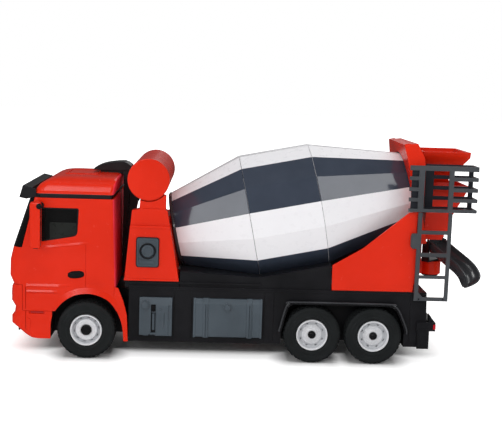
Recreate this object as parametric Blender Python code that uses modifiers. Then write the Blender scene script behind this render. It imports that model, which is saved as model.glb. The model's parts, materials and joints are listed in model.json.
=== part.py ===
# Toy cement mixer truck, 1:20, battery powered, as an assembly of separate pieces.
# Sizes are in millimetres and the scene is in metres, +Z up.
# +X points to the tail of the truck, -Y is its left side, Z = 0 is the ground.
# Stations (x) are measured from the leading rear axle; SHIFT_X moves them to the
# middle of the truck's length.
import bpy
import bmesh
import math
from mathutils import Vector, Matrix

# ---------------------------------------------------------------- driving sizes
MILLI = 0.001
SHIFT_X = 57.7         # leading rear axle to the middle of the truck's length
GAP = 0.3              # clearance between neighbouring pieces
WALL = 2.0             # wall of the plastic shells
BODY_Y = 57.0          # half width of the chassis and the red side panels
CAB_Y = 58.0           # half width of the cab
SIDES = (-1, 1)        # left, right
SIDE_NAMES = ((-1, "left"), (1, "right"))

# wheels and steering
TYRE_R = 26.75
TYRE_W = 20.0
TRACK = 50.0           # centre of the truck to the centre of a tyre
FRONT_AXLE_X = -208.7
LEADING_AXLE_X = 0.0
TRAILING_AXLE_X = 57.4
KINGPIN_Y = 36.0       # centre of the truck to a kingpin
ARM = 10.0             # steering arm length
TIE_X = FRONT_AXLE_X + ARM
SERVO_X = FRONT_AXLE_X + 2 * ARM
SHAFT_R = 1.5          # axle and spindle radius
BORE_R = 1.85          # bore round an axle
WHEEL_STEPS = 24       # steps round a tyre
RIM_STEPS = 16

# gears; addendum and dedendum are in modules
BACKLASH = 0.34
ADDENDUM = 0.8
DEDENDUM = 1.15
FLANK_ANGLE = 22.0     # degrees
MIN_TIP = 0.12         # least tip width, as a share of the width at the pitch circle
AXLE_TEETH, DRUM_TEETH, PINION_TEETH = 22, 30, 10
AXLE_MODULE, DRUM_MODULE = 0.7, 0.9
MOTOR_Z = TYRE_R + (AXLE_TEETH + PINION_TEETH) * AXLE_MODULE / 2
PINION_DROP = (DRUM_TEETH + PINION_TEETH) * DRUM_MODULE / 2  # drum axis to its pinion

# drum; S is the distance along its axis from DRUM_X, DRUM_Z
DRUM_TILT = 11.5       # degrees up towards the tail
DRUM_X, DRUM_Z = -26.7, 134.2
DRUM_R = 61.0          # over the corners, middle section
DRUM_HALF = 33.2       # half length of the middle section
DRUM_FRONT_S, DRUM_FRONT_R = -103.4, 37.0
DRUM_MOUTH_S, DRUM_MOUTH_R = 128.0, 35.1
DRUM_GEAR_S = -114.5
FACETS = 16            # flat sides round the drum
FACET_TURN = 90 + 180.0 / FACETS

# chute
CHUTE_X = 120.3        # swivel axis
CHUTE_YAW = -45.0      # rest heading, degrees from +X
TILT_U, TILT_Z = 4.0, 107.0  # tilt pin, out from the swivel axis and up

# modelling
WELD = 0.00001         # metres
FLAT_ANGLE = 0.3       # degrees; faces closer than this are merged
SHARP_ANGLE = 35.0     # degrees; edges above this stay sharp
BELOW = 5.0            # height under which open-bottomed cutters start
CUT_Y = 70.0           # half width of cutters that pass right through


# ---------------------------------------------------------------- scene and materials
def empty_scene():
    for old in list(bpy.data.objects):
        bpy.data.objects.remove(old, do_unlink=True)
    for old in list(bpy.data.collections):
        bpy.data.collections.remove(old)
    collection = bpy.data.collections.new("toy_cement_mixer")
    bpy.context.scene.collection.children.link(collection)
    return collection


TRUCK = empty_scene()

# base colour, roughness, metallic
FINISHES = {
    "red_plastic": ((0.72, 0.030, 0.012), 0.32, 0.0),
    "black_plastic": ((0.012, 0.013, 0.015), 0.45, 0.0),
    "grey_plastic": ((0.070, 0.085, 0.098), 0.45, 0.0),
    "dark_grey_plastic": ((0.050, 0.060, 0.078), 0.38, 0.0),
    "white_plastic": ((0.83, 0.82, 0.83), 0.30, 0.0),
    "rubber": ((0.018, 0.020, 0.022), 0.75, 0.0),
    "rim_silver": ((0.58, 0.58, 0.60), 0.35, 0.6),
    "window_tint": ((0.010, 0.011, 0.012), 0.12, 0.0),
    "lamp_red": ((0.55, 0.01, 0.02), 0.15, 0.0),
    "lamp_clear": ((0.75, 0.77, 0.80), 0.10, 0.0),
    "steel": ((0.60, 0.60, 0.62), 0.30, 1.0),
    "nylon": ((0.80, 0.79, 0.74), 0.45, 0.0),
    "board_green": ((0.02, 0.16, 0.06), 0.40, 0.0),
}


def make_material(name, colour, roughness, metallic):
    material = bpy.data.materials.new(name)
    material.use_nodes = True
    inputs = material.node_tree.nodes["Principled BSDF"].inputs
    inputs["Base Color"].default_value = (*colour, 1.0)
    inputs["Roughness"].default_value = roughness
    inputs["Metallic"].default_value = metallic
    material.diffuse_color = (*colour, 1.0)
    return material


MATERIALS = {name: make_material(name, *values) for name, values in FINISHES.items()}


# ---------------------------------------------------------------- mesh and frame helpers
def scene_point(point):
    """Scene position of a point in station millimetres."""
    return Vector(((point[0] + SHIFT_X) * MILLI, point[1] * MILLI, point[2] * MILLI))


def frame(x_dir, y_dir, z_dir, origin):
    matrix = Matrix((x_dir, y_dir, z_dir)).transposed().to_4x4()
    matrix.translation = scene_point(origin)
    return matrix


def along(origin, axis, up=(0, 0, 1)):
    """Frame with local Z along axis and local Y near up."""
    z_dir = Vector(axis).normalized()
    x_dir = Vector(up).cross(z_dir)
    if x_dir.length < 1e-6:
        x_dir = Vector((1, 0, 0))
    x_dir.normalize()
    return frame(x_dir, z_dir.cross(x_dir), z_dir, origin)


def tidy(mesh):
    """Weld, merge coplanar faces and point every face outwards."""
    bm = bmesh.new()
    bm.from_mesh(mesh)
    bmesh.ops.remove_doubles(bm, verts=bm.verts, dist=WELD)
    bmesh.ops.dissolve_degenerate(bm, edges=bm.edges, dist=WELD)
    bmesh.ops.dissolve_limit(bm, angle_limit=math.radians(FLAT_ANGLE),
                             use_dissolve_boundaries=False,
                             verts=bm.verts, edges=bm.edges, delimit=set())
    bmesh.ops.recalc_face_normals(bm, faces=bm.faces)
    bm.to_mesh(mesh)
    bm.free()
    mesh.update()


def link(name, data):
    obj = bpy.data.objects.new(name, data)
    TRUCK.objects.link(obj)
    return obj


def link_bmesh(name, bm):
    mesh = bpy.data.meshes.new(name)
    bm.to_mesh(mesh)
    bm.free()
    return link(name, mesh)


def evaluated_mesh(obj):
    bpy.context.view_layer.update()
    depsgraph = bpy.context.evaluated_depsgraph_get()
    return bpy.data.meshes.new_from_object(obj.evaluated_get(depsgraph), depsgraph=depsgraph)


def baked(source, matrix):
    """Evaluated mesh of source moved by matrix, as a new tidy object; source is removed."""
    mesh = evaluated_mesh(source)
    mesh.transform(matrix)
    name = source.name
    bpy.data.objects.remove(source, do_unlink=True)
    tidy(mesh)
    return link(name, mesh)


# ---------------------------------------------------------------- solids
def box(x0, x1, y0, y1, z0, z1):
    bm = bmesh.new()
    size = Matrix.Diagonal((abs(x1 - x0) * MILLI, abs(y1 - y0) * MILLI, abs(z1 - z0) * MILLI, 1.0))
    middle = Matrix.Translation(((x0 + x1) / 2 * MILLI + SHIFT_X * MILLI,
                                 (y0 + y1) / 2 * MILLI, (z0 + z1) / 2 * MILLI))
    bmesh.ops.create_cube(bm, size=1.0, matrix=middle @ size)
    return link_bmesh("box", bm)


def wide_box(x0, x1, half_y, z0, z1):
    """Box centred across the truck."""
    return box(x0, x1, -half_y, half_y, z0, z1)


def side_box(x0, x1, side, y0, y1, z0, z1):
    """Box at |y| from y0 to y1 on one side."""
    return box(x0, x1, *sorted((side * y0, side * y1)), z0, z1)


# local Y up and local Z towards the left, for outlines drawn as (x, z)
UPRIGHT = Matrix(((1, 0, 0, 0), (0, 0, -1, 0), (0, 1, 0, 0), (0, 0, 0, 1)))


def outline(loops, depth, matrix):
    """Flat outline (one loop, or an outer loop and holes) with a depth along local Z."""
    if not isinstance(loops[0][0], (tuple, list)):
        loops = [loops]
    curve = bpy.data.curves.new("outline", "CURVE")
    curve.dimensions = "2D"
    curve.fill_mode = "BOTH"
    curve.extrude = abs(depth) / 2 * MILLI
    for loop in loops:
        spline = curve.splines.new("POLY")
        spline.points.add(len(loop) - 1)
        for point, (x, y) in zip(spline.points, loop):
            point.co = (x * MILLI, y * MILLI, 0.0, 1.0)
        spline.use_cyclic_u = True
    return baked(link("outline", curve), matrix)


def prism(loop, y0, y1):
    """Loop of (x, z) swept from y0 to y1."""
    move = Matrix.Translation(scene_point((0, (y0 + y1) / 2, 0)))
    return outline(loop, y1 - y0, move @ UPRIGHT)


def wide_prism(loop, half_y):
    return prism(loop, -half_y, half_y)


def side_prism(loop, side, y0, y1):
    return prism(loop, *sorted((side * y0, side * y1)))


def plate(loop, z0, z1):
    """Loop of (x, y) swept from z0 to z1."""
    return outline(loop, z1 - z0, Matrix.Translation(scene_point((0, 0, (z0 + z1) / 2))))


def turned(profile, origin, axis, steps, closed=True, up=(0, 0, 1), turn=0.0):
    """Profile of (radius, height) points turned about the axis by a Screw modifier."""
    mesh = bpy.data.meshes.new("turned")
    count = len(profile)
    edges = [(i, (i + 1) % count) for i in range(count if closed else count - 1)]
    mesh.from_pydata([(radius * MILLI, 0.0, height * MILLI) for radius, height in profile],
                     edges, [])
    obj = link("turned", mesh)
    screw = obj.modifiers.new("turn", "SCREW")
    screw.axis = "Z"
    screw.angle = math.tau
    screw.steps = steps
    screw.render_steps = steps
    screw.use_merge_vertices = True
    screw.merge_threshold = WELD
    return baked(obj, along(origin, axis, up) @ Matrix.Rotation(math.radians(turn), 4, "Z"))


def cylinder(radius, start, end, segments=16, turn=0.0):
    start, end = Vector(start), Vector(end)
    axis = end - start
    bm = bmesh.new()
    matrix = along((start + end) / 2, axis) @ Matrix.Rotation(math.radians(turn), 4, "Z")
    bmesh.ops.create_cone(bm, cap_ends=True, segments=segments, radius1=radius * MILLI,
                          radius2=radius * MILLI, depth=axis.length * MILLI, matrix=matrix)
    return link_bmesh("cylinder", bm)


def post(radius, x, y, z0, z1, segments=16):
    """Vertical cylinder."""
    return cylinder(radius, (x, y, z0), (x, y, z1), segments)


def crossbar(radius, x, z, y0, y1, segments=16):
    """Cylinder across the truck."""
    return cylinder(radius, (x, y0, z), (x, y1, z), segments)


def ring_bar(points, radius):
    """Closed round bar through the points."""
    curve = bpy.data.curves.new("ring_bar", "CURVE")
    curve.dimensions = "3D"
    curve.bevel_depth = radius * MILLI
    curve.bevel_resolution = 1
    spline = curve.splines.new("POLY")
    spline.points.add(len(points) - 1)
    for point, place in zip(spline.points, points):
        point.co = (*scene_point(place), 1.0)
    spline.use_cyclic_u = True
    return baked(link("ring_bar", curve), Matrix.Identity(4))


def loft(sections):
    """Solid through closed sections with equal counts of (x, y, z) points."""
    bm = bmesh.new()
    rings = [[bm.verts.new(scene_point(point)) for point in section] for section in sections]
    count = len(rings[0])
    for lower, upper in zip(rings, rings[1:]):
        for i in range(count):
            j = (i + 1) % count
            bm.faces.new((lower[i], lower[j], upper[j], upper[i]))
    bm.faces.new(list(reversed(rings[0])))
    bm.faces.new(rings[-1])
    bmesh.ops.recalc_face_normals(bm, faces=bm.faces)
    return link_bmesh("loft", bm)


def rect_loft(*rows):
    """Loft through level rectangles given as (x0, x1, half width, z)."""
    return loft([[(x0, -y, z), (x1, -y, z), (x1, y, z), (x0, y, z)] for x0, x1, y, z in rows])


def boolean(obj, tools, operation):
    for tool in tools:
        modifier = obj.modifiers.new("bool", "BOOLEAN")
        modifier.operation = operation
        modifier.solver = "EXACT"
        modifier.object = tool
        mesh = evaluated_mesh(obj)
        obj.modifiers.clear()
        old = obj.data
        obj.data = mesh
        bpy.data.meshes.remove(old)
        bpy.data.objects.remove(tool, do_unlink=True)
        tidy(mesh)
    return obj


def cut(obj, *tools):
    return boolean(obj, tools, "DIFFERENCE")


def add(obj, *tools):
    return boolean(obj, tools, "UNION")


def common(obj, *tools):
    return boolean(obj, tools, "INTERSECT")


def inset(loop, distance):
    """Closed loop moved inwards by distance (outwards when negative)."""
    count = len(loop)
    area = sum(loop[i][0] * loop[(i + 1) % count][1] - loop[(i + 1) % count][0] * loop[i][1]
               for i in range(count))
    sign = 1.0 if area > 0 else -1.0
    moved = []
    for i in range(count):
        before, corner, after = (Vector(loop[i - 1]), Vector(loop[i]),
                                 Vector(loop[(i + 1) % count]))
        edge_in, edge_out = (corner - before).normalized(), (after - corner).normalized()
        normal_in = Vector((-edge_in.y, edge_in.x)) * sign
        normal_out = Vector((-edge_out.y, edge_out.x)) * sign
        reach = distance / max(0.35, (1 + normal_in.dot(normal_out)) / 2)  # 0.35 limits the mitre
        place = corner + (normal_in + normal_out) / 2 * reach
        moved.append((place.x, place.y))
    return moved


def band(outer, inner, floor_z):
    """Loop between two open-ended arches, keeping the points above floor_z."""
    return ([point for point in outer if point[1] > floor_z]
            + [point for point in reversed(inner) if point[1] > floor_z])


def gear_outline(teeth, module, phase):
    """Straight-flanked teeth on a pitch circle; phase is the angle of the first tooth."""
    pitch_r = teeth * module / 2
    tip_r, root_r = pitch_r + ADDENDUM * module, pitch_r - DEDENDUM * module
    half = math.pi / (2 * teeth) - BACKLASH / (2 * pitch_r)
    slope = math.tan(math.radians(FLANK_ANGLE))
    half_root = half + (pitch_r - root_r) * slope / pitch_r
    half_tip = max(MIN_TIP * half, half - (tip_r - pitch_r) * slope / pitch_r)
    corners = ((-half_root, root_r), (-half_tip, tip_r), (half_tip, tip_r), (half_root, root_r))
    points = []
    for i in range(teeth):
        middle = phase + math.tau * i / teeth
        for angle, radius in corners:
            points.append((radius * math.cos(middle + angle), radius * math.sin(middle + angle)))
    return points


def finish(obj, name, material, origin=None, parent=None):
    """Name the piece, give it its material and put its origin on its joint axis."""
    obj.name = name
    obj.data.name = name
    obj.data.materials.clear()
    obj.data.materials.append(MATERIALS[material])
    if origin is not None:
        place = scene_point(origin)
        obj.data.transform(Matrix.Translation(-place))
        obj.location = place
    if parent is not None:
        obj.parent = parent
        ancestor = parent
        while ancestor is not None:
            obj.location = obj.location - ancestor.location
            ancestor = ancestor.parent
    obj.data.shade_smooth()
    obj.data.set_sharp_from_angle(angle=math.radians(SHARP_ANGLE))


def joint(name, origin):
    """Empty on a joint axis."""
    obj = link(name, None)
    obj.empty_display_size = 0.02
    obj.location = scene_point(origin)
    return obj


# ---------------------------------------------------------------- drum frame
TILT = math.radians(DRUM_TILT)
DRUM_AXIS = Vector((math.cos(TILT), 0, math.sin(TILT)))
DRUM_UP = Vector((-math.sin(TILT), 0, math.cos(TILT)))


def drum_point(along_axis, up=0.0):
    point = Vector((DRUM_X, 0, DRUM_Z)) + DRUM_AXIS * along_axis + DRUM_UP * up
    return (point.x, 0.0, point.z)


def drum_turned(profile, steps, turn, closed=True):
    """Profile of (radius, distance along) turned about the drum axis."""
    return turned(profile, drum_point(0), DRUM_AXIS, steps, closed=closed, up=DRUM_UP, turn=turn)


def drum_cylinder(radius, start, end, segments, up=0.0):
    return cylinder(radius, drum_point(start, up), drum_point(end, up), segments)


def drum_slab(loops, depth, along_axis):
    """Outline of (y, up) square to the drum axis."""
    matrix = frame(Vector((0, 1, 0)), DRUM_UP, DRUM_AXIS, drum_point(along_axis))
    return outline(loops, depth, matrix)


def drum_block(depth, along_axis):
    """Large square cutter that trims a piece parallel to the drum's mouth."""
    return drum_slab([(-60, -60), (60, -60), (60, 60), (-60, 60)], depth, along_axis)


def drum_envelope(clearance):
    """Solid round the whole drum, for cutting room for it."""
    front, mouth = -111.0, 130
    front_r = DRUM_FRONT_R + clearance
    middle_r = DRUM_R + clearance
    profile = [(0, front), (front_r, front), (front_r, DRUM_FRONT_S), (middle_r, -DRUM_HALF),
               (middle_r, DRUM_HALF), (DRUM_MOUTH_R + clearance, mouth), (0, mouth)]
    return drum_turned(profile, 32, turn=180.0 / 32, closed=False)


# ================================================================= chassis
# outlines of (x, z)
REAR_ARCH_OUTER = [
    (-31, 10), (-31, 30), (-30, 34), (-25.2, 52.7), (-22, 56.2), (-17.6, 57.9), (69.2, 57.8),
    (75, 56.2), (80, 52), (87.6, 35), (88, 30), (88, 10)]
REAR_ARCH_INNER = [
    (-29, 9), (-29, 30), (-28.1, 34), (-23.5, 51.9), (-20.8, 54.7), (-17.2, 56), (68.8, 56),
    (74, 54.4), (78.5, 51), (85.8, 34.6), (86.1, 30), (86.1, 9)]
CHASSIS_SIDE = [(-170, 17), (-170, 69), (105.6, 69), (107.5, 24), (101, 17)]
CHASSIS_INSIDE = [(-168, BELOW), (-168, 67), (103.8, 67), (105.4, 24), (105.4, BELOW)]
CRADLE = [(-123.5, 69), (-123.5, 83), (-50, 79.2), (16, 92.7), (16.2, 69)]
CRADLE_INSIDE = [(-121.5, 60), (-121.5, 80.8), (-50, 77.1), (14.2, 90.3), (14.2, 60)]
WHEEL_TUNNEL = [(-33, 4), (-33, 59.8), (90, 59.8), (90, 4)]

# grey boxes set into the sides: x0, x1, side
BATTERY_BOX = (-160, -130, -1)
LEFT_TANK = (-110.4, -47, -1)
RIGHT_TANK = (-160, -47, 1)
SIDE_BOX_Z0, SIDE_BOX_Z1 = 23, 59

PLATE_Z = (17.3, 19.0)         # underbody plate and battery door
DOOR_X0, DOOR_X1, DOOR_Y = -150, -80, 25
LUG_Y = 39.2                   # outer end of the steering lugs


def side_box_room(clearance, y0, y1):
    """Blocks over the three grey boxes, larger all round by clearance."""
    return [side_box(x0 - clearance, x1 + clearance, side, y0, y1,
                     SIDE_BOX_Z0 - clearance, SIDE_BOX_Z1 + clearance)
            for x0, x1, side in (BATTERY_BOX, LEFT_TANK, RIGHT_TANK)]


def chassis_hollow():
    """Cutter for the inside, leaving walls round the drum, wheels and side boxes."""
    hollow = wide_prism(CHASSIS_INSIDE, BODY_Y - WALL)
    add(hollow, wide_prism(CRADLE_INSIDE, 53.5))
    cut(hollow, drum_envelope(4.5))
    for side in SIDES:
        cut(hollow, side_prism(WHEEL_TUNNEL, side, 36, BODY_Y))
    cut(hollow, *side_box_room(WALL + GAP, 48, BODY_Y))
    return add(hollow, wide_box(-241, -166, 24, BELOW, 58))


def steering_lug(side):
    """Upper kingpin lug with its root on the front tongue."""
    x0, x1 = FRONT_AXLE_X - 4, FRONT_AXLE_X + 4
    lug = side_box(x0, x1, side, 25, LUG_Y, 36, 40)
    add(lug, side_box(x0, x1, side, 25, 28, 36, 52))
    return cut(lug, post(BORE_R, FRONT_AXLE_X, side * KINGPIN_Y, 35, 39.2))


def chassis():
    body = wide_prism(CHASSIS_SIDE, BODY_Y)
    add(body, wide_prism(CRADLE, 55.5), wide_box(-173.8, -124.0, 55.5, 68, 73.8))
    add(body, wide_box(-243, -169, 26, 17, 60))
    for side in SIDES:
        cut(body, side_prism(REAR_ARCH_INNER, side, 38, 62))
        add(body, side_prism(band(REAR_ARCH_OUTER, REAR_ARCH_INNER, 20), side, 37, 60.4))
    cut(body, drum_envelope(WALL + GAP))
    cut(body, chassis_hollow())
    cut(body, *side_box_room(GAP, 50, 62))
    # axle slots, open downwards
    for x in (LEADING_AXLE_X, TRAILING_AXLE_X):
        cut(body, wide_box(x - 2.0, x + 2.0, 39, BELOW, TYRE_R + 2.0))
    # tie rod windows
    cut(body, wide_box(TIE_X - 4.6, TIE_X + 4.6, 27, BELOW, 35.2))
    for side in SIDES:
        add(body, steering_lug(side))
    return body


finish(chassis(), "chassis_body", "black_plastic")

# x, y
UNDERBODY_PLAN = [
    (-167.7, -54.7), (-34, -54.7), (-34, -35.7), (91, -35.7), (91, -54.7), (99, -54.7),
    (99, 54.7), (91, 54.7), (91, 35.7), (-34, 35.7), (-34, 54.7), (-167.7, 54.7),
    (-167.7, 23.7), (-203, 23.7), (-203, 41), (-214, 41), (-214, 23.7), (-240.7, 23.7),
    (-240.7, -23.7), (-214, -23.7), (-214, -41), (-203, -41), (-203, -23.7), (-167.7, -23.7)]


def underbody():
    floor = plate(UNDERBODY_PLAN, *PLATE_Z)
    inner_y = 23.7             # half width between the tongue walls
    lug_x0, lug_x1 = FRONT_AXLE_X - 4.3, FRONT_AXLE_X + 4.3
    for side in SIDES:
        # the steering lugs pass below the tongue walls
        cut(floor, side_box(-204, -166, side, inner_y, 26.5, 17.0, 25),
            side_box(-242, -213, side, inner_y, 26.5, 17.0, 25))
        lug = side_box(lug_x0, lug_x1, side, 20, LUG_Y, 14.8, 16.7)
        cut(floor, side_box(-216, -201, side, inner_y, 45, 16.9, 20))
        add(lug, side_box(lug_x0, lug_x1, side, 20, 23.6, 16, 18.5))
        cut(lug, post(BORE_R, FRONT_AXLE_X, side * KINGPIN_Y, 13, 20))
        add(floor, lug)
        # rear axle bearing blocks
        for x in (LEADING_AXLE_X, TRAILING_AXLE_X):
            block = side_box(x - 4, x + 4, side, 29, 34, 18.5, TYRE_R)
            cut(block, crossbar(BORE_R, x, TYRE_R, side * 20, side * 40))
            add(floor, block)
    # openings for the axle gear, battery door and switch
    return cut(floor, wide_box(-9.2, 9.2, 3.4, 16, 20),
               wide_box(DOOR_X0 - GAP, DOOR_X1 + GAP, DOOR_Y + GAP, 16, 20),
               wide_box(-62.5, -51.5, 2.6, 16, 20))


def battery_door():
    door = wide_box(DOOR_X0, DOOR_X1, DOOR_Y, *PLATE_Z)
    for x in (-140, -132, -124):
        cut(door, wide_box(x - 1, x + 1, 12, 16, 17.9))
    return door


def battery_pack():
    pack = wide_box(-148, -84, 22, 20.5, 38)
    cells = [cylinder(7.2, (-146, y, 37), (-86, y, 37), 12) for y in (-14.6, 0, 14.6)]
    return add(pack, *cells)


def circuit_board():
    board = wide_box(-76, -36, 20, 50, 51.6)
    return add(board, box(-70, -58, -8, 4, 51, 54.5), post(3.2, -45, 10, 51, 60, 12),
               box(-54, -44, -16, -8, 51, 57))


finish(underbody(), "underbody_plate", "black_plastic")
finish(battery_door(), "battery_door", "black_plastic")
finish(battery_pack(), "battery_pack", "grey_plastic")
finish(circuit_board(), "circuit_board", "board_green")


def grey_box(x0, x1, side):
    """Box in the side of the chassis, open on its inner face."""
    wall = 1.6
    shell = side_box(x0, x1, side, 50.3, 60, SIDE_BOX_Z0, SIDE_BOX_Z1)
    return cut(shell, side_box(x0 + wall, x1 - wall, side, 49, 58.2,
                               SIDE_BOX_Z0 + wall, SIDE_BOX_Z1 - wall))


def battery_box():
    shell = grey_box(*BATTERY_BOX)
    cut(shell, box(-147.8, -146.4, -61, -59.2, 27, 56))
    add(shell, crossbar(3.4, -154.4, 52.3, -59.5, -61.2, 12))
    for z in (32, 37, 42):
        cut(shell, box(-143.5, -133, -61, -59.4, z, z + 1.4))
    return shell


def fuel_tank(place, strap_stations, cap_x):
    shell = grey_box(*place)
    side = place[2]
    for x in strap_stations:
        add(shell, side_box(x - 1.5, x + 1.5, side, 59.5, 60.9, SIDE_BOX_Z0, SIDE_BOX_Z1))
    return add(shell, crossbar(2.7, cap_x, 51.2, side * 59.5, side * 61.6, 6))


finish(battery_box(), "battery_box_left", "grey_plastic")
finish(fuel_tank(LEFT_TANK, (-99.7, -59.3), -79), "fuel_tank_left", "grey_plastic")
finish(fuel_tank(RIGHT_TANK, (-140, -103.5, -67), -122), "fuel_tank_right", "grey_plastic")


def rear_bumper():
    outer_y, z0, z1 = 59.6, 33, 41.3
    bumper = wide_box(109.0, 115, outer_y, z0, z1)
    for side in SIDES:
        add(bumper, side_box(97.5, 110, side, 57.4, outer_y, z0, z1))
        add(bumper, side_box(98.4, 109.4, side, 57.4, outer_y, 16, 33.5))
        add(bumper, side_prism([(109.3, 40.5), (115, 40.5), (109.3, 48.5)], side, 50, 57.3))
        cut(bumper, side_box(112.5, 116, side, 49.5, 61, 34.6, 39.7))
    return cut(bumper, wide_box(112.2, 113.8, 58, 36.2, 38.2))


def tail_lamps():
    """Two lamps joined by a strip along the groove in the bumper."""
    lamps = wide_box(112.5, 113.5, 57.7, 36.5, 37.9)
    for side in SIDES:
        add(lamps, side_box(112.8, 115.2, side, 49.8, 59.9, 34.9, 39.4))
    return lamps


finish(rear_bumper(), "rear_bumper", "black_plastic")
finish(tail_lamps(), "tail_lamp_insert", "lamp_red")

# ================================================================= wheels and drive
# corner radius that puts the flats of the faceted tread on the ground
TREAD_R = TYRE_R / math.cos(math.pi / WHEEL_STEPS)
HALF_TYRE = TYRE_W / 2
SHAFT_Y = 56.3                 # outer end of every wheel shaft
# radius, distance outwards from the middle of the wheel
TYRE_PROFILE = [
    (15.1, -9.2), (17.5, -HALF_TYRE), (24.8, -HALF_TYRE), (TREAD_R, -7.6),
    (TREAD_R, 7.6), (24.8, HALF_TYRE), (17.5, HALF_TYRE), (15.1, 9.2)]
RIM_PROFILE = [
    (BORE_R, -7), (BORE_R, 6.8), (5.0, 7.2), (6.2, 5.4), (11.6, 4.4), (13.0, 9.2),
    (14.6, 9.4), (14.6, -8.6), (12.8, -8.6), (12.0, 2.2), (4.4, 2.2), (4.4, -7)]


def wheel(label, x, side, side_name, parent):
    hub = (x, side * TRACK, TYRE_R)
    axis = (0, side, 0)
    tyre = turned(TYRE_PROFILE, hub, axis, WHEEL_STEPS, turn=180.0 / WHEEL_STEPS)
    finish(tyre, "%s_tyre_%s" % (label, side_name), "rubber", hub, parent)
    rim = turned(RIM_PROFILE, hub, axis, RIM_STEPS)
    finish(rim, "%s_rim_%s" % (label, side_name), "rim_silver", hub, parent)


def axle_gear(teeth, width, z, phase):
    """Gear on the middle line of the truck, above or on the leading rear axle."""
    move = Matrix.Translation(scene_point((LEADING_AXLE_X, 0, z)))
    return outline(gear_outline(teeth, AXLE_MODULE, phase), width, move @ UPRIGHT)


def rear_axle(label, shaft_name, x, geared):
    origin = (x, 0, TYRE_R)
    axle_frame = joint("%s_axle_frame" % label, origin)
    for side, side_name in SIDE_NAMES:
        wheel(label, x, side, side_name, axle_frame)
    shaft = crossbar(SHAFT_R, x, TYRE_R, -SHAFT_Y, SHAFT_Y, 12)
    if geared:
        add(shaft, axle_gear(AXLE_TEETH, 5.0, TYRE_R, math.pi / 2))
    finish(shaft, shaft_name, "steel", origin, axle_frame)


def motor_pinion():
    gear = axle_gear(PINION_TEETH, 5.4, MOTOR_Z, -math.pi / 2 + math.pi / PINION_TEETH)
    return cut(gear, crossbar(1.0, LEADING_AXLE_X, MOTOR_Z, -5, 5, 10))


def drive_motor():
    x, z = LEADING_AXLE_X, MOTOR_Z
    motor = crossbar(7.75, x, z, 4.5, 30, 20)
    cut(motor, box(x - 9, x + 9, 3, 31, z + 6.4, z + 9))  # flat on top of the can
    return add(motor, crossbar(2.6, x, z, 3.4, 5, 12), crossbar(0.7, x, z, -2.6, 6, 8))


def knuckle(side):
    x, y = FRONT_AXLE_X, side * KINGPIN_Y
    obj = post(3.0, x, y, 20.0, 35.4)
    add(obj, post(1.4, x, y, 15.2, 38.8, 12))
    add(obj, crossbar(SHAFT_R, x, TYRE_R, y, side * SHAFT_Y, 12))
    arm = plate([(x, y - 2.2), (TIE_X, y - 2.2), (TIE_X + 2, y), (TIE_X, y + 2.2),
                 (x, y + 2.2)], 28.2, 31.2)
    return add(obj, arm, post(1.2, TIE_X, y, 30, 34.2, 12))


rear_axle("leading", "drive_axle", LEADING_AXLE_X, geared=True)
rear_axle("trailing", "trailing_axle", TRAILING_AXLE_X, geared=False)
finish(motor_pinion(), "motor_pinion", "nylon", (LEADING_AXLE_X, 0, MOTOR_Z))
finish(drive_motor(), "drive_motor", "steel")
for steer_side, steer_name in SIDE_NAMES:
    kingpin = (FRONT_AXLE_X, steer_side * KINGPIN_Y, TYRE_R)
    steering_frame = joint("steering_%s_frame" % steer_name, kingpin)
    wheel("front", FRONT_AXLE_X, steer_side, steer_name, steering_frame)
    finish(knuckle(steer_side), "steering_knuckle_" + steer_name, "black_plastic", kingpin,
           steering_frame)

# x from the tie rod's middle line, y
TIE_ROD_PLAN = [
    (-2.2, -32), (-4.2, -33.5), (-4.2, -38.5), (3.6, -38.5), (3.6, -33.5), (2.2, -32),
    (2.2, -4), (3.6, -3), (3.6, 3), (2.2, 4), (2.2, 32), (3.6, 33.5), (3.6, 38.5),
    (-4.2, 38.5), (-4.2, 33.5), (-2.2, 32), (-2.2, 4), (-4.2, 3), (-4.2, -3), (-2.2, -4)]


def tie_rod():
    bar = plate([(TIE_X + x, y) for x, y in TIE_ROD_PLAN], 31.6, 33.8)
    slot = 1.55                # half width of the pin slots
    for y in (-KINGPIN_Y, KINGPIN_Y):
        cut(bar, box(TIE_X - 2.2, TIE_X + 1.6, y - slot, y + slot, 31, 35))
    return cut(bar, wide_box(TIE_X - 1.6, TIE_X + 2.2, slot, 31, 35))


def servo_horn():
    horn = plate([(TIE_X - 1.8, -1.7), (SERVO_X, -1.9), (SERVO_X, 1.9), (TIE_X - 1.8, 1.7)],
                 34.9, 36.6)
    return add(horn, post(1.2, TIE_X, 0, 32.0, 35.5, 12), post(2.4, SERVO_X, 0, 34.5, 39.3, 12))


def steering_servo():
    servo = wide_box(-201, -178, 10, 39.5, 56)
    add(servo, wide_box(-206, -173, 8, 45, 47))
    cut(servo, post(2.9, SERVO_X, 0, 36, 41, 12))
    return cut(servo, wide_box(-204.8, -202.8, 2, 44, 48), wide_box(-176.2, -174.2, 2, 44, 48))


def power_switch():
    x0, x1, half_y = -61, -56.5, 2.2
    slider = wide_box(x0, x1, half_y, 15.8, 19.0)
    return add(slider, wide_box(-64, -50, 4.5, 19.4, 20.6), wide_box(x0, x1, half_y, 18.5, 19.8))


finish(tie_rod(), "tie_rod", "nylon", (TIE_X, 0, 32.7))
finish(servo_horn(), "servo_horn", "nylon", (SERVO_X, 0, 35.7))
finish(steering_servo(), "steering_servo", "black_plastic")
finish(power_switch(), "power_switch", "red_plastic", (-57, 0, 17.5))

# ================================================================= cab
# front face of the cab on the middle line: z, x
CAB_FRONT = [
    (17.8, -262.0), (20.6, -266.3), (30.9, -278.2), (37.5, -278.2), (40.9, -275.6),
    (46.2, -275.0), (52.0, -278.4), (65.1, -278.1), (67.8, -276.6), (75.5, -279.8),
    (89.9, -279.5), (102.6, -276.6), (146.0, -262.2), (148.4, -260.6)]
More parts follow.
